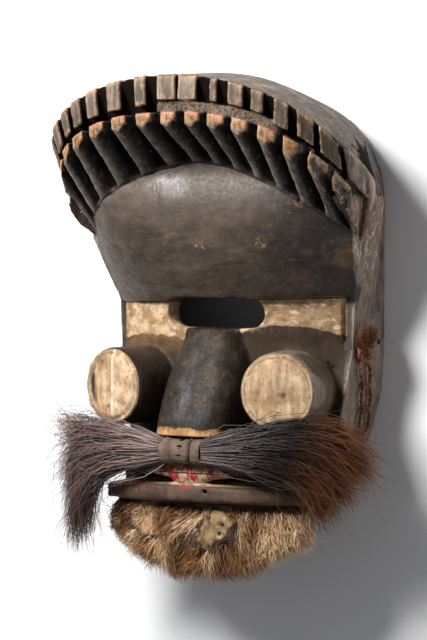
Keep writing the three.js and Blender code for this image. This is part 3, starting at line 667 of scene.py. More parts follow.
class WoodPaint:
    """The wood's colour, gloss and bareness, laid one area over another. A pit is a place without gloss."""

    def __init__(self, names):
        self.shader = Shader("old_wood")
        self.at = {name: self.shader.attribute(name) for name in names}
        self.place = self.shader.millimetres()
        self.x, self.y, self.z = self.shader.axes(self.place)
        self.fine = self.noise(2.4, 4)
        self.grain = self.noise(1.4, 4, (1, 0.06, 1))
        self.colour = linear(60, 51, 43)
        self.rough = 0.5
        self.bare = 0.0
        self.pit = None

    def noise(self, size, detail, stretch=(1, 1, 1), place=None):
        return self.shader.noise(size, detail, stretch, place or self.place)

    def patches(self, area, *rows):
        """Colours in patches of an area, laid one over another. Each row holds the noise's size,
        detail and stretch, then the two borders and the most that it covers, then what cover takes."""
        for grain, (low, high, most), *paint in rows:
            share = self.noise(*grain).between(low, high, 0, most)
            self.cover(share if area is None else area & share, *paint)

    def cover(self, share, colour, rough=None, bare=None):
        self.colour = self.shader.mix(share, self.colour, linear(*colour))
        if rough is not None:
            self.rough = self.shader.mix_number(share, self.rough, rough)
        if bare is not None:
            self.bare = self.shader.mix_number(share, self.bare, bare)

    def spot(self, x, y, radius):
        """One at a place on the front, falling to nothing at a radius."""
        away = (self.x - x) * (self.x - x) + (self.y - y) * (self.y - y)
        return away.between(radius * radius * 0.2, radius * radius, 1.0, 0.0)


def paint_forehead(art):
    x, y, at = art.x, art.y, art.at
    # Painted light and shade: the forehead is painted lighter towards its top and on its left, where the
    # light falls, and darker on its right, where shade falls; the glossy spot's lighter colour is a painted
    # highlight
    art.cover(y.between(48, 108, 0, 0.7), (80, 66, 54), 0.62)
    art.cover(art.spot(-22, 100, 20) * 0.8, (88, 76, 66), 0.3)
    art.cover(x.between(25, 95, 0, 0.8) & y.between(0, 20), (34, 29, 25))
    art.cover(x.between(-98, -62, 0.7, 0.0), (80, 68, 58), 0.55)
    art.patches(
        None,
        ((16, 6, (0.45, 1.3, 1)), (0.5, 0.68, 0.45), (94, 78, 64), 0.55),
        ((20, 6), (0.5, 0.68, 0.35), (92, 64, 42)),
        ((9, 6, (0.5, 1.6, 1)), (0.54, 0.68, 0.55), (32, 27, 23)),
        ((3, 5, (0.35, 1.6, 1)), (0.6, 0.7, 0.4), (112, 98, 84), 0.6),
        ((1.6, 3), (0.66, 0.74, 0.5), (122, 96, 70), 0.6),
    )
    for place in ((4, 56, 5), (54, 58, 5)):
        art.patches(art.spot(*place), ((2.6, 5), (0.5, 0.64, 0.6), (150, 124, 94), 0.6))
    art.patches(art.spot(103, 51, 11), ((6, 6), (0.42, 0.6, 0.7), (108, 78, 48), 0.6))
    hole = WORM_HOLE["x"], WORM_HOLE["y"]
    ring = art.spot(*hole, WORM_HOLE["radius"] * 1.8)
    art.cover(ring & art.fine.between(0.4, 0.55, 0, 0.9), (134, 84, 48), 0.7)
    # Painted shade: the hole's near-black middle
    art.cover(art.spot(*hole, WORM_HOLE["radius"]), (24, 17, 12), 0.8)
    crack = (at["over_crease"] + art.fine * 3 - 1.5).size().below(1.0, 0.6) & x.between(80, 88)
    art.cover(crack, (20, 14, 10), 0.8)


def paint_crest(art):
    at = art.at
    outward, arc, sunk, from_edge = at["outward"], at["arc"], at["sunk"], at["from_edge"]
    inputs = {"X": arc, "Y": outward * 0.1, "Z": arc * 0.3}
    swept = art.shader.node("ShaderNodeCombineXYZ", inputs).outputs[0]
    streak = art.noise(1.3, 4, place=swept)
    broad_streak = art.noise(5, 4, place=swept)
    high = art.y.above(CREST_FOOT_Y, 2)
    pale = at["wall"].below(0.5, 0.1)

    # Fins: dark grey, with painted shade darkening the flutes and a painted highlight lighter towards their
    # ridges and on their standing edges
    fins = at["over_crease"] + (art.noise(5, 2) - 0.5) * 4
    fins = fins.above(0.0, 0.5) & art.y.above(57, 1)
    art.cover(fins, (34, 29, 25), 0.6, 0.0)
    # Painted shade in the flutes, then painted highlights on the ridges and standing edges
    art.cover(fins & at["flute"], (14, 10, 8), 0.75)
    art.cover(fins & (at["ridge"] * art.noise(9, 5).between(0.35, 0.6, 0.35, 1)), (128, 118, 108), 0.5)
    art.cover(fins & at["edge"].between(0.12, 0.4, 0, 0.7), (140, 124, 108), 0.5)
    dusty = art.noise(5, 6, (1, 0.5, 1)).between(0.54, 0.66, 0, 0.5) & at["flute"].below(0.5, 0.4)
    art.cover(fins & dusty, (96, 80, 66), 0.6)

    # Faces of the fins, rubbed to orange brown, with a red line along the groove
    length = (arc - FIN["wider_from"]).between(0, 100, 0, 100 * FIN["widening"]) + FIN["face"] - 0.6
    on_face = fins & sunk.below(2.0, 0.5) & (outward + length + (art.fine - 0.5) * 5).above(0.0, 0.8)
    art.cover(on_face, (112, 80, 54), 0.62, 0.1)
    art.patches(
        on_face,
        ((4, 5), (0.46, 0.6, 0.8), (164, 112, 62), 0.6),
        ((2.2, 4), (0.5, 0.6, 0.8), (62, 46, 36)),
    )
    # Painted shade on the faces of the last fins on the right
    art.cover(on_face & arc.between(104, 114), (44, 38, 33), 0.5, 0.1)
    art.cover(on_face & at["edge"].between(0.1, 0.3) & art.fine.between(0.35, 0.6, 0.2, 0.9), (168, 132, 96))
    red_line = on_face & outward.above(-GROOVE_HALF_WIDTH - 0.7, 0.3) & arc.below(100, 8)
    art.cover(red_line & art.noise(7, 4).between(0.44, 0.54, 0.1, 0.95), (172, 44, 48), 0.7)

    # Groove and gaps, almost black, as dark patina with painted shade, and the rough ledge on the right
    gaps = outward.above(-GROOVE_HALF_WIDTH - 0.3, 0.3) & high & pale & sunk.above(2.0, 0.4)
    art.cover(gaps, (21, 15, 11), 0.85, 0.0)
    art.pit = (fins & at["flute"]) | gaps
    ledge = outward.above(LEDGE["inner"], 0.4) & outward.below(LEDGE["outer"], 0.4) & high
    ledge = ledge & arc.above(LEDGE["from"], 1) & arc.below(LEDGE["to"], 6) & sunk.above(1.0, 0.4)
    art.cover(ledge & sunk.below(5.2, 0.6), (104, 90, 76), 0.85, 0.6)
    art.patches(ledge, ((2, 4), (0.5, 0.6, 1), (62, 50, 42)))

    # Front faces of the upper teeth
    face = outward.above(GROOVE_HALF_WIDTH - 0.5, 0.3) & sunk.below(1.5, 0.4) & high & pale
    art.cover(face, (102, 86, 72), 0.66, 0.3)
    art.cover(face & broad_streak.between(0.48, 0.64, 0, 0.7), (136, 120, 104))
    art.cover(face & broad_streak.between(0.5, 0.36, 0, 0.6), (74, 58, 46))
    art.cover(face & streak.between(0.54, 0.68, 0, 0.75), (48, 37, 30))
    art.cover(face & arc.between(58, 100, 0, 0.85), (58, 47, 38), 0.6, 0.2)
    art.cover(face & arc.between(58, 100) & streak.between(0.5, 0.62, 0, 0.5), (104, 86, 70))
    worn = (from_edge + (art.fine - 0.5) * 5).between(3.6, 1.2, 0, 0.85)
    art.cover(face & worn & art.noise(9, 3).between(0.38, 0.54, 0.2, 1), (166, 122, 74), 0.7)
    rubbed = at["edge"].between(0.14, 0.34) & art.fine.between(0.35, 0.6, 0.1, 0.8)
    art.cover(face & rubbed & art.noise(10, 4).between(0.42, 0.56, 0.15, 1), (166, 140, 110))
    pink = face & outward.below(6, 2) & art.noise(5, 4).between(0.6, 0.64) & arc.between(-40, -20)
    art.cover(pink & arc.below(70, 10), (176, 48, 62), 0.7)


def paint_band(art):
    x, at = art.x, art.at
    within = x.size().below(97.5, 0.5) & at["under_brow"].above(-0.4, 0.4) & art.z.above(44, 1)
    lids = within & art.y.above(-83, 1) & at["facing_up"].above(0.2, 0.15) & at["wall"].below(0.5, 0.1)
    art.cover(lids, (60, 47, 36), 0.68, 0.0)
    art.pit = art.pit | (lids * 0.7)
    art.cover(lids & at["over_band"].between(-14, -2, 0, 0.65) & art.x.below(10, 8), (126, 94, 62))
    art.cover(lids & art.noise(12, 6, (0.4, 1.2, 1)).between(0.48, 0.62, 0, 0.7), (54, 43, 34))
    art.cover(lids & at["edge"].between(0.12, 0.4, 0, 0.25), (150, 128, 102))
    kaolin = within & (at["over_band"] + (art.noise(8, 6) - 0.5) * 7).above(0.0, 0.7) & art.z.above(47, 1)
    art.cover(kaolin, (186, 157, 124), 0.85, 0.05)
    art.cover(kaolin & x.between(20, 80, 0, 0.8), (142, 117, 88))
    art.patches(
        kaolin,
        ((14, 9), (0.46, 0.56, 0.8), (138, 108, 76)),
        ((6, 9, (0.6, 1.2, 1)), (0.54, 0.66, 0.6), (88, 68, 49), 0.7),
        ((1.5, 4), (0.6, 0.72, 0.6), (88, 69, 52)),
        ((5, 9, (0.5, 1.4, 1)), (0.56, 0.64, 0.7), (208, 182, 150)),
    )
    crack = (art.noise(16, 5) - 0.5).size().between(0.008, 0.0, 0, 0.6)
    art.cover(kaolin & crack & art.noise(20, 2).between(0.45, 0.55), (84, 62, 46))
    # A painted shadow in a thin dark line along the brow's lower edge
    art.cover(within & at["under_brow"].below(1.0, 0.5), (52, 40, 30), 0.7)


def paint_hollows(art):
    """Painted shade in the sunken cheeks round the eyes, the dark strip inside the wall, and painted
    highlights on the strip's edges.
    """
    at = art.at
    strip = art.x.size().above(93.5, 1) & art.y.below(13, 1) & at["wall"].below(0.5, 0.1)
    sunk = (art.y.below(-20, 1) & art.z.below(58, 3) & at["wall"].below(0.5, 0.1)) | strip
    # Painted shade on the sunken cheeks; the strip inside the wall takes the same dark
    art.cover(sunk, (46, 38, 32), 0.6, 0.2)
    art.cover(sunk & art.noise(9, 5, (1, 0.3, 1)).between(0.5, 0.62, 0, 0.55), (96, 82, 70))
    # Painted highlights on the strip's gouged edges
    art.cover(strip & at["edge"].between(0.08, 0.3, 0, 0.8), (150, 134, 116))


def paint_eyes(art):
    at = art.at
    near = at["eye_radius"].below(EYE["radius"] + 2.2, 0.2) & at["eye_along"].above(-40, 0.5)
    side = near & at["eye_along"].below(-1.8, 0.4) & at["eye_radius"].above(EYE["radius"] - 3, 0.4)
    left = art.x.below(0, 1)
    art.cover(side, (118, 104, 90), 0.6, 0.7)
    art.cover(side & art.noise(3, 5, (1, 1, 0.2)).between(0.5, 0.62, 0, 0.5), (66, 54, 44))
    # Painted shade on the side of the left eye's tube
    art.cover(side & left, (50, 40, 32), 0.5, 0.2)
    front = near & at["eye_along"].above(-2.2, 0.4)
    art.cover(front, (164, 135, 104), 0.85, 0.0)
    art.cover(front & left & at["eye_across"].above(3, 1), (186, 157, 126))
    art.patches(
        front,
        ((9, 9, (1.8, 0.4, 1)), (0.44, 0.6, 0.7), (200, 174, 142)),
        ((16, 9), (0.48, 0.62, 0.7), (140, 108, 76)),
        ((4, 9, (1.3, 0.7, 1)), (0.54, 0.66, 0.45), (106, 82, 60)),
        ((15, 9), (0.6, 0.68, 0.8), (66, 54, 44)),
        ((1.5, 4), (0.6, 0.72, 0.7), (88, 69, 54)),
    )
    ridge = front & left & (at["eye_across"] - 3.0).size().below(1.0, 0.5)
    art.cover(ridge & art.noise(8, 5).between(0.4, 0.52, 0.1, 0.9), (226, 200, 170))
    margin = front & (at["eye_radius"] + (art.noise(12, 3) - 0.5) * 2 - 25).size().below(0.5, 0.4)
    art.cover(margin & art.noise(5, 4).between(0.42, 0.58, 0.1, 0.8), (104, 84, 66))
    art.cover(front & at["eye_radius"].above(27.0, 0.6) & art.fine.between(0.35, 0.6), (138, 110, 82))


def paint_nose(art):
    on_nose = art.at["nose"].above(0.0, 0.5)
    gloss_and_painted_highlight = art.spot(-15, -58, 18)
    art.cover(on_nose, (38, 31, 25), 0.5, 0.0)
    art.patches(
        on_nose,
        ((16, 6), (0.5, 0.66, 0.5), (82, 62, 45), 0.55),
        ((6, 6), (0.54, 0.66, 0.5), (28, 23, 20), 0.45),
    )
    # A glossy spot whose lighter colour is a painted highlight
    art.cover(on_nose & gloss_and_painted_highlight, (44, 38, 33), 0.28)
    art.pit = art.pit | ((on_nose & ~gloss_and_painted_highlight) * 0.75)
    art.patches(on_nose, ((1.8, 4), (0.68, 0.76, 0.6), (140, 116, 92), 0.6))
    art.cover(on_nose & art.at["edge"].between(0.15, 0.4, 0, 0.4), (100, 82, 64), 0.4)
    worn = (art.y + (art.noise(14, 4) - 0.5) * 10).below(-79, 1.4)
    art.cover(on_nose & worn, (138, 100, 62), 0.6, 0.3)
    art.cover(on_nose & worn & art.noise(3, 5).between(0.5, 0.62, 0, 0.7), (96, 68, 44), 0.6)
    art.cover(on_nose & worn & art.at["edge"].between(0.02, 0.25, 0, 0.7), (192, 148, 98), 0.6)


def paint_jaw(art):
    at = art.at
    jaw = at["jaw"].above(0.0, 0.5)
    art.cover(jaw, (72, 56, 45), 0.55, 0.15)
    # Painted shade on the upper jaw and in the mouth, above the lower lip
    mouth = jaw & at["under_lip_top"].below(-0.4, 0.4)
    art.cover(mouth, (38, 27, 21), 0.7)
    art.pit = art.pit | (jaw * 0.6)
    lip = jaw & at["under_lip_top"].above(0.0, 0.4)
    art.patches(
        lip,
        ((12, 5, (0.4, 1.5, 1)), (0.48, 0.62, 0.6), (98, 76, 60)),
        ((5, 5), (0.56, 0.66, 0.7), (40, 30, 24)),
    )
    line = jaw & at["under_lip_top"].size().below(0.9, 0.4)
    art.cover(line & art.noise(6, 4).between(0.4, 0.5, 0.25, 0.95), (176, 148, 114), 0.7)
    red = lip & at["under_lip_top"].below(3.5, 1.5) & art.noise(8, 4).between(0.52, 0.58) & art.x.below(8, 6)
    art.cover(red, (142, 48, 44), 0.7)

    # A lens-shaped strip of small painted blocks in two rows
    strip = at["strip"].above(0.0, 0.3)
    block = 8.4
    row = art.y.above(STRIP["middle_y"], 0.1)
    along = art.x + row * block * 0.55
    art.cover(strip, (196, 162, 124), 0.8, 0.2)
    art.cover(strip & art.noise(4, 5).between(0.48, 0.6, 0, 0.75), (128, 96, 68))
    red_block = along.wave(2 * block).above(0.1, 0.12) & art.noise(5, 5).between(0.42, 0.52)
    art.cover(strip & red_block, (174, 44, 60), 0.7)
    lines = along.wave(2 * block).size().below(0.12, 0.06)
    rows = (art.y - STRIP["middle_y"]).size().below(0.45, 0.2) & art.x.size().below(26, 2)
    art.cover(strip & (lines | rows), (58, 38, 28), 0.8)


def paint_walls(art):
    at = art.at
    wall = (at["wall"] + (art.noise(6, 5) - 0.5) * 0.7).between(0.3, 0.7)
    art.cover(wall, (122, 108, 95), 0.72, 0.8)
    art.cover(wall & art.y.between(70, 130, 0, 0.8), (86, 75, 63))
    art.patches(
        wall,
        ((12, 7, (1.2, 0.12, 1)), (0.48, 0.62, 0.6), (150, 134, 118)),
        ((9, 6, (1, 0.25, 1)), (0.54, 0.66, 0.55), (92, 68, 46)),
        ((11, 6, (1.2, 0.3, 1)), (0.56, 0.68, 0.7), (58, 49, 42)),
    )
    temple = wall & art.y.above(20, 4) & art.y.below(100, 3) & art.x.above(108, 1)
    scratches = (art.noise(11, 6, (1.6, 0.35, 1.3)) - 0.5).size().between(0.02, 0.0)
    art.cover(temple & scratches & art.noise(22, 3).between(0.44, 0.54), (206, 194, 182), 0.8)
    veins = (art.noise(16, 5, (1, 0.5, 1)) - 0.5).size().between(0.014, 0.0) & art.y.above(60, 4)
    art.cover(temple & veins & art.noise(18, 3).between(0.45, 0.52), (178, 66, 80), 0.7)
    hollow = at["hollow"].above(0.5, 0.2)
    art.cover(hollow, (72, 57, 44), 0.75, 0.8)
    art.cover(hollow & art.noise(18, 5).between(0.48, 0.64, 0, 0.5), (104, 84, 64))


def wood_material(names):
    art = WoodPaint(names)
    shader = art.shader
    upper = (paint_forehead, paint_hollows, paint_crest, paint_band)
    lower = (paint_nose, paint_jaw, paint_eyes, paint_walls)
    for paint in upper + lower:
        paint(art)
    mottle = art.noise(11, 6)
    colour = shader.shaded(art.colour, mottle.between(0.3, 0.7, 0.72, 1.3))
    dark_grain = art.bare * art.grain.between(0.46, 0.62, 0.0, 0.6)
    colour = shader.mix(dark_grain, colour, linear(38, 29, 23))
    rough = (art.rough + art.fine.between(0.3, 0.7, -0.08, 0.14)) & 0.95
    height = art.fine * 0.3 + art.grain * art.bare + mottle * 0.5
    shader.put(shader.surface.inputs["Specular IOR Level"], art.pit.between(0, 1, 0.45, 0.04))
    return shader.finish(colour, rough, height, 0.5)


# Strands: many closed tubes of a few sides in one mesh
def strands(name, lines, radii, sides=3):
    """lines is an array of strands by points by 3, and radii one of strands by points."""
    count, steps, _ = lines.shape
    along = np.gradient(lines, axis=1)
    along /= np.maximum(np.linalg.norm(along, axis=2, keepdims=True), 1e-9)
    up = np.where(np.abs(along[..., 2:3]) > 0.9, np.array([1.0, 0, 0]), np.array([0, 0, 1.0]))
    across = np.cross(along, up)
    across /= np.maximum(np.linalg.norm(across, axis=2, keepdims=True), 1e-9)
    over = np.cross(across, along)
    turn = np.arange(sides) * 2 * math.pi / sides
    ring = across[:, :, None, :] * np.cos(turn)[:, None] + over[:, :, None, :] * np.sin(turn)[:, None]
    points = (lines[:, :, None, :] + ring * radii[:, :, None, None]).reshape(-1, 3)
    row = np.arange(count)[:, None, None] * steps * sides + np.arange(steps - 1)[None, :, None] * sides
    here = np.arange(sides)[None, None, :]
    beside = (here + 1) % sides
    walls = np.stack([row + here, row + beside, row + sides + beside, row + sides + here], -1).reshape(-1, 4)
    first = np.arange(count)[:, None, None] * steps * sides
    fan = np.array([[0, i + 1, i] for i in range(1, sides - 1)])
    root_caps = (first + fan).reshape(-1, 3)
    tip_caps = (first + (steps - 1) * sides + fan[:, ::-1]).reshape(-1, 3)
    faces = np.concatenate([walls[:, [0, 1, 2]], walls[:, [0, 2, 3]], root_caps, tip_caps])
    piece = mesh_of(name, points, faces)
    give(piece.data, "along", np.tile(np.repeat(np.linspace(0, 1, steps), sides), count))
    return piece


def strand_value(piece, name, values, steps, sides=3):
    give(piece.data, name, np.repeat(values, steps * sides))


def spline(controls, steps):
    """Smooth lines through control points: controls is strands by points by 3."""
    spans = controls.shape[1] - 1
    share = np.linspace(0, spans, steps)
    piece = np.minimum(share.astype(int), spans - 1)
    t = (share - piece)[None, :, None]
    before = 2 * controls[:, :1] - controls[:, 1:2]
    after = 2 * controls[:, -1:] - controls[:, -2:-1]
    padded = np.concatenate([before, controls, after], axis=1)
    a, b, c, d = (padded[:, piece + i] for i in range(4))
    return 0.5 * (2 * b + (c - a) * t + (2 * a - 5 * b + 4 * c - d) * t**2 + (3 * b - a - 3 * c + d) * t**3)


# Moustache: the way of the topmost and of the lowest hairs on each side, from the knot to their tips
HAIR_WAYS = {
    -1: (
        [(-12, -90, 117), (-46, -83, 116), (-84, -80, 108), (-108, -80, 100), (-130, -78, 93)],
        [(-12, -100, 117), (-44, -105, 116), (-76, -114, 109), (-101, -137, 101), (-109, -174, 94)],
    ),
    1: (
        [(12, -90, 117), (46, -82, 116), (84, -76, 108), (116, -80, 92), (138, -104, 70)],
        [(12, -100, 117), (46, -104, 116), (72, -108, 107), (92, -122, 96), (100, -144, 88)],
    ),
}
HAIR_COUNT = 3100
HAIR_STEPS = 10
HAIR_REACH = {-1: 131.0, 1: 144.0}  # how far most hairs go to each side, and strays a little further
HAIR_FALL = 184.0
HAIR_SLACK = 9.0


def reined(values, limit, slack):
    """Values that pass a limit are drawn back to less than a slack beyond it."""
    over = np.maximum(values - limit, 0)
    return np.minimum(values, limit) + slack * np.tanh(over / slack)


def hair_side(name, side):
    top, low = (np.array(way, float) for way in HAIR_WAYS[side])
    count = HAIR_COUNT
    points = len(top)
    share = rng.uniform(0, 1, count)
    if side < 0:
        share = np.where(rng.uniform(0, 1, count) < 0.6, share, rng.beta(3, 1.2, count))
    controls = lerp(top[None], low[None], share[:, None, None])
    depth = rng.normal(0, 0.5, count).clip(-1.1, 1.1)
    height = rng.normal(0, 0.5, count).clip(-1.1, 1.1)
    stray = rng.uniform(0, 1, count) < 0.06
    growth = np.array([0.0, 0.8, 1.4, 2.0, 2.8])
    thickness = np.array([5.2, 6.0, 6.5, 5.5, 5.0])
    controls[:, :, 2] += depth[:, None] * thickness
    controls[:, :, 1] += height[:, None] * (2.6 + 2.6 * growth)
    if side < 0:
        controls[:, 3:, 0] += (9 * height * share)[:, None]
    scatter = rng.normal(0, 1, (count, points, 3)) * growth[None, :, None] * np.array([1.8, 1.7, 1.1])
    controls += scatter * np.where(stray, 3.0, 1.0)[:, None, None]
    wisp = np.stack([share * 60, height * 14, depth * 8], 1)
    for i in range(2, points):
        pull = np.stack([noise(wisp, 7, seed) for seed in (63, 64, 65)], 1)
        controls[:, i] += pull * (i - 1) * np.array([2.4, 2.8, 1.2])
    length = rng.uniform(0.4, 1.05, count) ** 0.7
    reach = (length - 1)[:, None] * np.array([0.3, 1.0])
    controls[:, 3:] += (controls[:, 3:] - controls[:, 2:-1]) * reach[:, :, None]
    lines = spline(controls, HAIR_STEPS)
    along = np.linspace(0, 1, HAIR_STEPS)
    offset = np.repeat(rng.uniform(0, 400, (count, 1)), HAIR_STEPS, 0)
    for axis, size, seed in ((0, 2.6, 60), (1, 3.4, 61), (2, 2.4, 62)):
        wave = noise(lines.reshape(-1, 3) + offset, 22, seed).reshape(count, HAIR_STEPS)
        lines[..., axis] += size * wave * along
    lines[..., 0] = side * reined(side * lines[..., 0], HAIR_REACH[side], HAIR_SLACK)
    lines[..., 1] = -reined(-lines[..., 1], HAIR_FALL, HAIR_SLACK)
    lines[..., 2] = np.maximum(lines[..., 2], 30)
    radii = rng.uniform(0.18, 0.38, count)[:, None] * (1 - 0.75 * along[None, :] ** 2)
    piece = strands(name, lines, radii)
    strand_value(piece, "shade", rng.uniform(0, 1, count), HAIR_STEPS)
    return piece


def hair_material(name, near, middle, tips, tips_from):
    shader = Shader(name)
    along = shader.attribute("along")
    shade = shader.attribute("shade")
    colour = shader.mix(along.between(0.12, 0.42), linear(*near), linear(*middle))
    turned = along.between(tips_from, tips_from + 0.3) * shade.between(0.1, 0.8)
    colour = shader.mix(turned, colour, linear(*tips))
    colour = shader.shaded(colour, (shade * 7.3).wave(1.0).between(-1, 1, 0.45, 1.7))
    shader.surface.inputs["Specular IOR Level"].default_value = 0.4
    return shader.finish(colour, 0.5)


def moustache():
    left = hair_side("moustache_left", -1)
    left.data.materials.append(hair_material("grey_hair", (134, 114, 108), (98, 80, 76), (118, 92, 76), 0.6))
    right = hair_side("moustache_right", 1)
    right.data.materials.append(hair_material("brown_hair", (96, 82, 78), (44, 31, 25), (152, 92, 50), 0.55))
    return [left, right]


BAND_VOXEL = 0.6
FOLDS = [(7.0, 1.7, 1.2), (-8.0, 0.6, 2.8)]  # place across the knot, depth, width


def knot_band():
    """The strip of hide round the hank: crumpled, with a few uneven upright folds."""
    piece = remeshed("hide_band", "moustache_band", BAND_VOXEL)
    mesh = piece.data
    points = Neighbours(mesh).relax(points_of(mesh), 3)
    normals = normals_of(mesh)
    warped = points[:, 0] + 4.0 * noise(points, 11, 71) + 0.3 * (points[:, 1] - KNOT["y"])
    folds = 0.9 * layers(points * np.array([1.0, 0.45, 0.45]), 9, 3, 72)
    for place, depth, width in FOLDS:
        folds -= depth * np.exp(-(((warped - place) / width) ** 2))
    ends = smoothstep(np.abs(points[:, 0]), KNOT["half"] - 3, KNOT["half"])
    folds += ends * 0.7 * noise(points, 5, 74)
    set_points(mesh, points + normals * folds[:, None])
    mesh.shade_smooth()
    give(mesh, "fold", folds)
    shader = Shader("dry_hide")
    # Painted shade: the hide is darker in the hollows of its folds and lighter on the raised parts
    colour = shader.mix(shader.attribute("fold").between(-1.0, 0.4), linear(50, 37, 29), linear(114, 92, 75))
    colour = shader.mix(shader.noise(5, 6).between(0.48, 0.62, 0, 0.7), colour, linear(84, 65, 51))
    colour = shader.mix(shader.noise(1.8, 4).between(0.6, 0.7, 0, 0.5), colour, linear(150, 124, 102))
    mesh.materials.append(shader.finish(colour, 0.8, shader.noise(1.4, 4), 0.5))
    return piece


# Beard: dense fine fur in clumps over a dark hide, with one bare patch and two small holes in it, which are
# dents here painted near black as shade
SKIN_VOXEL = 1.2
FUR_LAYERS = [  # name, strands sown, seed, longest, lift
    ("beard_fur", 6000, 81, 20, 4.0), ("beard_fur_over", 6000, 81, 28, 8.0),
]
FUR_STEPS = 6
PATCH_HOLES = [(24.4, -149.5, 1.6), (21.8, -156.0, 1.9)]  # x, y, radius
LIGHT_PATCH = {"x": -46.0, "y": -149.0, "half_width": 17.0, "half_height": 12.0}
PALE_SWEEP = {"x": 2.0, "y": -145.0, "half_width": 14.0, "half_height": 8.0}


def hide_front(x, y):
    top = lip_line(x, -1)
    share = np.clip((top - y) / (top - BEARD["bottom"]), 0, 1)
    return arc_z(x, BEARD["z"], LIP["side_drop"]) - BEARD["lean"] * share


def fur_tip(x):
    return lerp(BEARD["tip_y"], BEARD["side_tip_y"], (x / BEARD["half"]) ** 2)


def ragged(x, y, seed):
    """Added to an oval's measure, makes its border ragged."""
    flat = np.stack([x, y, 0 * x], 1)
    return 0.3 * noise(flat, 7, seed) + 0.15 * noise(flat, 3, seed + 1)


def in_oval(x, y, oval):
    """Falls from 1 in an oval's middle to 0 at its edge and below 0 outside."""
    down = (y - oval["y"]) / oval["half_height"]
    across = (x - oval["x"]) / oval["half_width"] - oval.get("slant", 0) * down
    return 1 - np.hypot(across, down)


def fur_layer(name, count, seed, longest, lifted):
    x = rng.uniform(-1, 1, count) * BEARD["half"]
    top = lip_line(x, -1)
    tip = fur_tip(x)
    y = lerp(top - 1.2, lerp(tip, top, 0.12), rng.uniform(0, 1, count) ** 0.85)
    bare = in_oval(x, y, PATCH) + ragged(x, y, 93)
    light = smoothstep(in_oval(x, y, LIGHT_PATCH) + ragged(x, y, 97), -0.05, 0.15)
    keep = (bare < -0.02) | ((bare < 0.18) & (rng.uniform(0, 1, count) < 0.3))
    keep &= in_oval(x, y - 9, PATCH) < 0.3
    keep &= rng.uniform(0, 1, count) > 0.72 * light
    x, y, tip, light = x[keep], y[keep], tip[keep], light[keep]
    flat = np.stack([x, y * 0.4, 0 * x], 1)
    clump = noise(flat, 8, seed)
    lean = noise(flat, 14, seed + 3)
    pull = noise(flat, 5, seed + 5)
    sweep_left = smoothstep(in_oval(x, y, PALE_SWEEP), 0, 0.3)
    count = len(x)
    side = np.where(x < 0, -1.0, 0.6) * smoothstep(np.abs(x), 10, 80)
    direction = np.stack([0.8 * side + 0.7 * lean - 0.2 - 1.0 * sweep_left, -np.ones(count)], 1)
    direction += rng.normal(0, 0.16, (count, 2))
    direction /= np.linalg.norm(direction, axis=1, keepdims=True)
    reach = rng.uniform(0.4, 1.0, count) * longest * (1 + 0.9 * sweep_left) * (1 - 0.6 * light)
    reach *= 1 - 0.35 * smoothstep(in_oval(x, y - 14, PATCH), -0.6, 0.0)
    reach = np.minimum(reach, np.maximum(4, (y - tip + rng.uniform(-3, 7, count)) / -direction[:, 1]))
    end_x = x + direction[:, 0] * reach + 3.0 * pull
    end_y = y + direction[:, 1] * reach
    z = hide_front(x, y) + rng.uniform(-1.5, 1.0, count)
    lift = rng.uniform(0.3, 1.0, count) * lifted * (1 - 0.6 * light) * (1 + 0.5 * clump)
    root = np.stack([x, y, z], 1)
    end = np.stack([end_x, end_y, hide_front(end_x, end_y) + rng.uniform(-2.5, 4.5, count)], 1)
    up = np.stack([0 * lift, 0 * lift, lift], 1)
    first = lerp(root, end, 0.33) + up + rng.normal(0, 0.8, (count, 3))
    second = lerp(root, end, 0.68) + up * 0.9 + rng.normal(0, 1.5, (count, 3))
    lines = spline(np.stack([root, first, second, end], 1), FUR_STEPS)
    along = np.linspace(0, 1, FUR_STEPS)
    radii = rng.uniform(0.15, 0.33, count)[:, None] * (1 - 0.8 * along[None, :] ** 1.5)
    piece = strands(name, lines, radii)
    pale = 0.8 * smoothstep(clump, 0.05, 0.5) + 0.9 * sweep_left + 0.9 * light
    pale += 0.8 * smoothstep(x, 50, 70) * smoothstep(clump, -0.6, 0.1)
    dark = smoothstep(-clump, 0.2, 0.6) * (1 - light) * (1 - sweep_left)
    strand_value(piece, "shade", rng.uniform(0, 1, count), FUR_STEPS)
    strand_value(piece, "pale", np.clip(pale, 0, 1), FUR_STEPS)
    strand_value(piece, "dark", np.clip(dark, 0, 1), FUR_STEPS)
    return piece


def fur_material():
    shader = Shader("tan_fur")
    along = shader.attribute("along")
    shade = shader.attribute("shade")
    colour = shader.mix(along.between(0.0, 0.8), linear(98, 62, 34), linear(162, 112, 64))
    colour = shader.mix(shader.attribute("dark") * 0.9, colour, linear(64, 41, 25))
    pale = shader.attribute("pale") * along.between(0.0, 0.35, 0.4, 1.0)
    colour = shader.mix(pale, colour, linear(226, 194, 152))
    colour = shader.shaded(colour, (shade * 7.3).wave(1.0).between(-1, 1, 0.6, 1.4))
    return shader.finish(colour, 0.6)


def beard_fur():
    material = fur_material()
    pieces = [fur_layer(*row) for row in FUR_LAYERS]
    for piece in pieces:
        piece.data.materials.append(material)
    return pieces


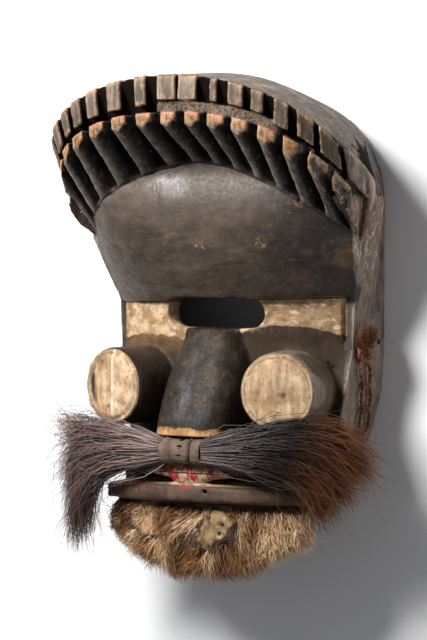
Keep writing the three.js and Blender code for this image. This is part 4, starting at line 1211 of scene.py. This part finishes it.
def beard_skin():
    piece = remeshed("beard_skin", "beard_hide", SKIN_VOXEL)
    mesh = piece.data
    points = points_of(mesh)
    under_lip = smoothstep(lip_line(points[:, 0], -1) - points[:, 1], 2, 10)[:, None]
    points = lerp(points, Neighbours(mesh).relax(points, 24), under_lip)
    x, y = points[:, 0], points[:, 1]
    bare = smoothstep(in_oval(x, y, PATCH) + ragged(x, y, 93), -0.04, 0.06)
    normals = normals_of(mesh)
    light = smoothstep(in_oval(x, y, LIGHT_PATCH) + ragged(x, y, 97), -0.1, 0.1)
    depth = (lerp(-1.6, -0.6, bare) + 0.6 * layers(points, 8, 3, 91)) * under_lip[:, 0]
    front = smoothstep(normals[:, 2], 0.2, 0.6)
    hole = sum(np.exp(-((x - hx) ** 2 + (y - hy) ** 2) / radius**2) for hx, hy, radius in PATCH_HOLES)
    depth -= 2.2 * hole * front
    set_points(mesh, points + normals * depth[:, None])
    mesh.shade_smooth()
    give(mesh, "patch", bare)
    give(mesh, "hole", hole)
    give(mesh, "light", light)
    shader = Shader("furred_hide")
    colour = shader.mix(shader.noise(7, 6).between(0.42, 0.58), linear(146, 120, 80), linear(106, 80, 50))
    colour = shader.mix(shader.noise(3, 5).between(0.54, 0.66, 0, 0.6), colour, linear(176, 150, 106))
    colour = shader.mix(shader.attribute("patch").below(0.5, 0.4), colour, linear(66, 47, 32))
    tanned = shader.mix(shader.noise(8, 7).between(0.42, 0.6), linear(166, 128, 94), linear(122, 84, 54))
    colour = shader.mix(shader.attribute("light").between(0.3, 0.8), colour, tanned)
    # Painted shade in the two holes
    colour = shader.mix(shader.attribute("hole").between(0.35, 0.6), colour, linear(22, 16, 12))
    mesh.materials.append(shader.finish(colour, 0.7, shader.noise(1.8, 4), 0.5))
    return piece


# Cord: plied fibre along the same knot, loops and tuft as the solid
TUFT_COUNT = 420
TUFT_STEPS = 8
FUZZ_COUNT = 520


def wall_x(y):
    down = np.maximum(0, RIM["lower_y"] - y) / RIM["bottom"]
    return RIM["half"] * (1 - down ** RIM["power"]) ** (1 / RIM["power"])


def cord_z(y):
    run = CORD["loops"] * (CORD["loop_length"] - 2 * CORD["radius"])
    return lerp(CORD["top_z"], CORD["bottom_z"], (CORD["top_y"] - y) / run)


def ring_line(middle_y, half_length, half_width, thick, turns):
    y = middle_y + half_length * np.cos(turns)
    return np.stack([wall_x(y) + thick + 0.9, y, cord_z(y) + half_width * np.sin(turns)], 1)


def plied(centre, ply_radius, twists):
    """Two plies twisted round a line."""
    outward = np.array([1.0, 0, 0])
    along = np.gradient(centre, axis=0)
    along /= np.linalg.norm(along, axis=1, keepdims=True)
    across = np.cross(along, outward)
    plies = []
    for start in (0, math.pi):
        turn = np.linspace(0, twists * 2 * math.pi, len(centre))[:, None] + start
        plies.append(centre + ply_radius * 0.75 * (outward * np.cos(turn) + across * np.sin(turn)))
    return plies


def cord_lines(steps=44):
    """Plies of every loop, of the knot and of the strap up to the hole, as separate lines."""
    radius = CORD["radius"]
    pitch = CORD["loop_length"] - 2 * radius
    turns = np.linspace(0, 2 * math.pi, steps)
    runs = []
    for i in range(CORD["loops"]):
        middle_y = CORD["top_y"] - CORD["knot_half"] - (i + 0.5) * pitch
        loop = ring_line(middle_y, CORD["loop_length"] / 2, CORD["loop_half"], radius, turns)
        runs.append((loop, 0.62 * radius, 7))
    for grow in (0.78, 1.0):
        half, wide = CORD["knot_half"] * grow, CORD["knot_half_width"] * grow
        runs.append((ring_line(CORD["top_y"], half, wide, 1.2 * radius, turns), 0.74 * radius, 3))
    hole_y, hole_z = CORD["hole"]
    start = np.array([wall_x(CORD["top_y"]) + 2.5, CORD["top_y"] + CORD["knot_half"], CORD["top_z"]])
    corner = np.array([RIM["half"] + 2.4, (start[1] + hole_y) / 2, hole_z])
    end = np.array([RIM["half"] - 3, hole_y, hole_z])
    t = np.linspace(0, 1, steps)[:, None]
    runs.append(((1 - t) ** 2 * start + 2 * t * (1 - t) * corner + t**2 * end, 0.85, 3))
    lines = [ply for centre, ply_radius, twists in runs for ply in plied(centre, ply_radius, twists)]
    radii = [np.full(steps, ply_radius) for _, ply_radius, _ in runs for _ in range(2)]
    return np.array(lines), np.array(radii)


def fuzz(lines, count, steps=5):
    """Short stray fibres that stand off the cord."""
    line = rng.integers(0, len(lines), count)
    place = rng.integers(2, lines.shape[1] - 2, count)
    root = lines[line, place]
    onward = lines[line, place + 1] - root
    end = root + onward * 2.0 + rng.normal(0, 1.6, (count, 3)) + np.array([0.8, 0, 0])
    middle = lerp(root, end, 0.5) + rng.normal(0, 0.4, (count, 3))
    return spline(np.stack([root, middle, end], 1), steps)


def cord_pieces():
    lines, radii = cord_lines()
    cord = strands("fibre_cord", lines, radii, 6)
    strand_value(cord, "shade", rng.uniform(0, 1, len(lines)), lines.shape[1], 6)
    count = TUFT_COUNT
    origin = np.array([RIM["half"] + 2.0, CORD["top_y"] + 2, CORD["top_z"]])
    fan = rng.uniform(-1, 1, count)
    reach = rng.uniform(9, 23, count) * (1 - 0.25 * fan**2)
    end = origin + np.stack([rng.uniform(0.5, 6, count), reach, CORD["tuft_half"] * fan], 1)
    root = origin + np.stack([rng.uniform(-1, 1.5, count), rng.uniform(-4, 2, count), 5 * fan], 1)
    sway = rng.normal(0, 1.2, (count, 2, 3))
    first = lerp(root, end, 0.33) + sway[:, 0] * 0.6
    second = lerp(root, end, 0.66) + sway[:, 1]
    tuft_lines = spline(np.stack([root, first, second, end], 1), TUFT_STEPS)
    tuft_radii = rng.uniform(0.16, 0.34, count)[:, None] * (1 - 0.6 * np.linspace(0, 1, TUFT_STEPS))[None]
    tuft = strands("fibre_tuft", tuft_lines, tuft_radii)
    strand_value(tuft, "shade", rng.uniform(0, 1, count), TUFT_STEPS)
    stray_lines = fuzz(lines, FUZZ_COUNT)
    strays = strands("fibre_fuzz", stray_lines, np.full(stray_lines.shape[:2], 0.13))
    strand_value(strays, "shade", rng.uniform(0.4, 1, len(stray_lines)), stray_lines.shape[1])
    shader = Shader("plant_fibre")
    colour = shader.mix(shader.attribute("shade"), linear(66, 40, 25), linear(156, 88, 40))
    colour = shader.mix(shader.noise(2.0, 4).between(0.42, 0.62, 0, 0.8), colour, linear(38, 25, 18))
    material = shader.finish(colour, 0.75, shader.noise(0.8, 3), 0.3)
    for piece in (cord, tuft, strays):
        piece.data.materials.append(material)
    return [cord, tuft, strays]


# Floor, lights and camera. These two are in metres
FLOOR_HALF = 3.0
FLOOR_GAP = 0.0003


def camera_axes():
    azimuth = math.radians(VIEW["azimuth"])
    elevation = math.radians(VIEW["elevation"])
    level = math.cos(elevation)
    back = Vector((math.sin(azimuth) * level, math.sin(elevation), math.cos(azimuth) * level))
    right = Vector((0, 1, 0)).cross(back).normalized()
    return right, back.cross(right), back


def aim():
    return Vector((np.array(VIEW["target"]) + SHIFT) / 1000)


def make_camera():
    right, up, back = camera_axes()
    lens = bpy.data.cameras.new("camera")
    lens.sensor_fit = "AUTO"
    lens.sensor_width = SENSOR
    lens.lens = SENSOR * FOCAL_PX / LONG_SIDE_PX
    lens.clip_start = 0.05
    lens.clip_end = 50
    camera = bpy.data.objects.new("camera", lens)
    bpy.context.scene.collection.objects.link(camera)
    placed = Matrix((right, up, back)).transposed().to_4x4()
    placed.translation = aim() + back * VIEW["distance"] / 1000
    camera.matrix_world = placed
    bpy.context.scene.camera = camera


def make_light(name, direction, distance, power, size):
    """A square soft light, its direction given along the camera's right, up and back."""
    right, up, back = camera_axes()
    towards = (right * direction[0] + up * direction[1] + back * direction[2]).normalized()
    lamp = bpy.data.lights.new(name, "AREA")
    lamp.energy = power
    lamp.size = size
    light = bpy.data.objects.new(name, lamp)
    bpy.context.scene.collection.objects.link(light)
    light.location = aim() + towards * distance
    light.rotation_mode = "QUATERNION"
    light.rotation_quaternion = towards.to_track_quat("Z", "Y")


def make_stage():
    """A floor just under the mask, two lights and an even sky."""
    half = FLOOR_HALF
    corners = [(-half, -half, 0), (half, -half, 0), (half, half, 0), (-half, half, 0)]
    floor = bpy.data.meshes.new("floor")
    floor.from_pydata(corners, [], [(0, 1, 2, 3)])
    stage = bpy.data.objects.new("floor", floor)
    bpy.context.scene.collection.objects.link(stage)
    stage.location.z = -FLOOR_GAP
    floor.materials.append(Shader("pale_floor").finish((0.74, 0.74, 0.74), 0.9))
    make_light("key", (-0.85, 0.75, 0.6), 1.5, 48, 0.5)
    make_light("fill", (1.0, 0.1, 0.5), 1.6, 12, 1.2)
    world = bpy.data.worlds.new("studio")
    world.use_nodes = True
    background = world.node_tree.nodes["Background"]
    background.inputs["Color"].default_value = (0.93, 0.95, 1.0, 1.0)
    background.inputs["Strength"].default_value = 0.24
    bpy.context.scene.world = world
    bpy.context.scene.view_settings.view_transform = "Standard"


def settle(piece, slot, *nodes):
    """The piece rides with the mask and stands for its solids; slot is not used."""
    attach(piece, "root")
    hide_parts(*nodes)


make_camera()
make_stage()
wood = carve_wood()
wood.data.materials.append(wood_material(wood_fields(wood)))
settle(wood, "wood", "mask_body")
for hank in moustache():
    settle(hank, "hair", "moustache_hair")
settle(knot_band(), "hide", "moustache_band")
settle(beard_skin(), "fur", "beard_hide")
for fur in beard_fur():
    settle(fur, "fur", "beard_hide")
for fibre in cord_pieces():
    settle(fibre, "fibre", "side_cord")
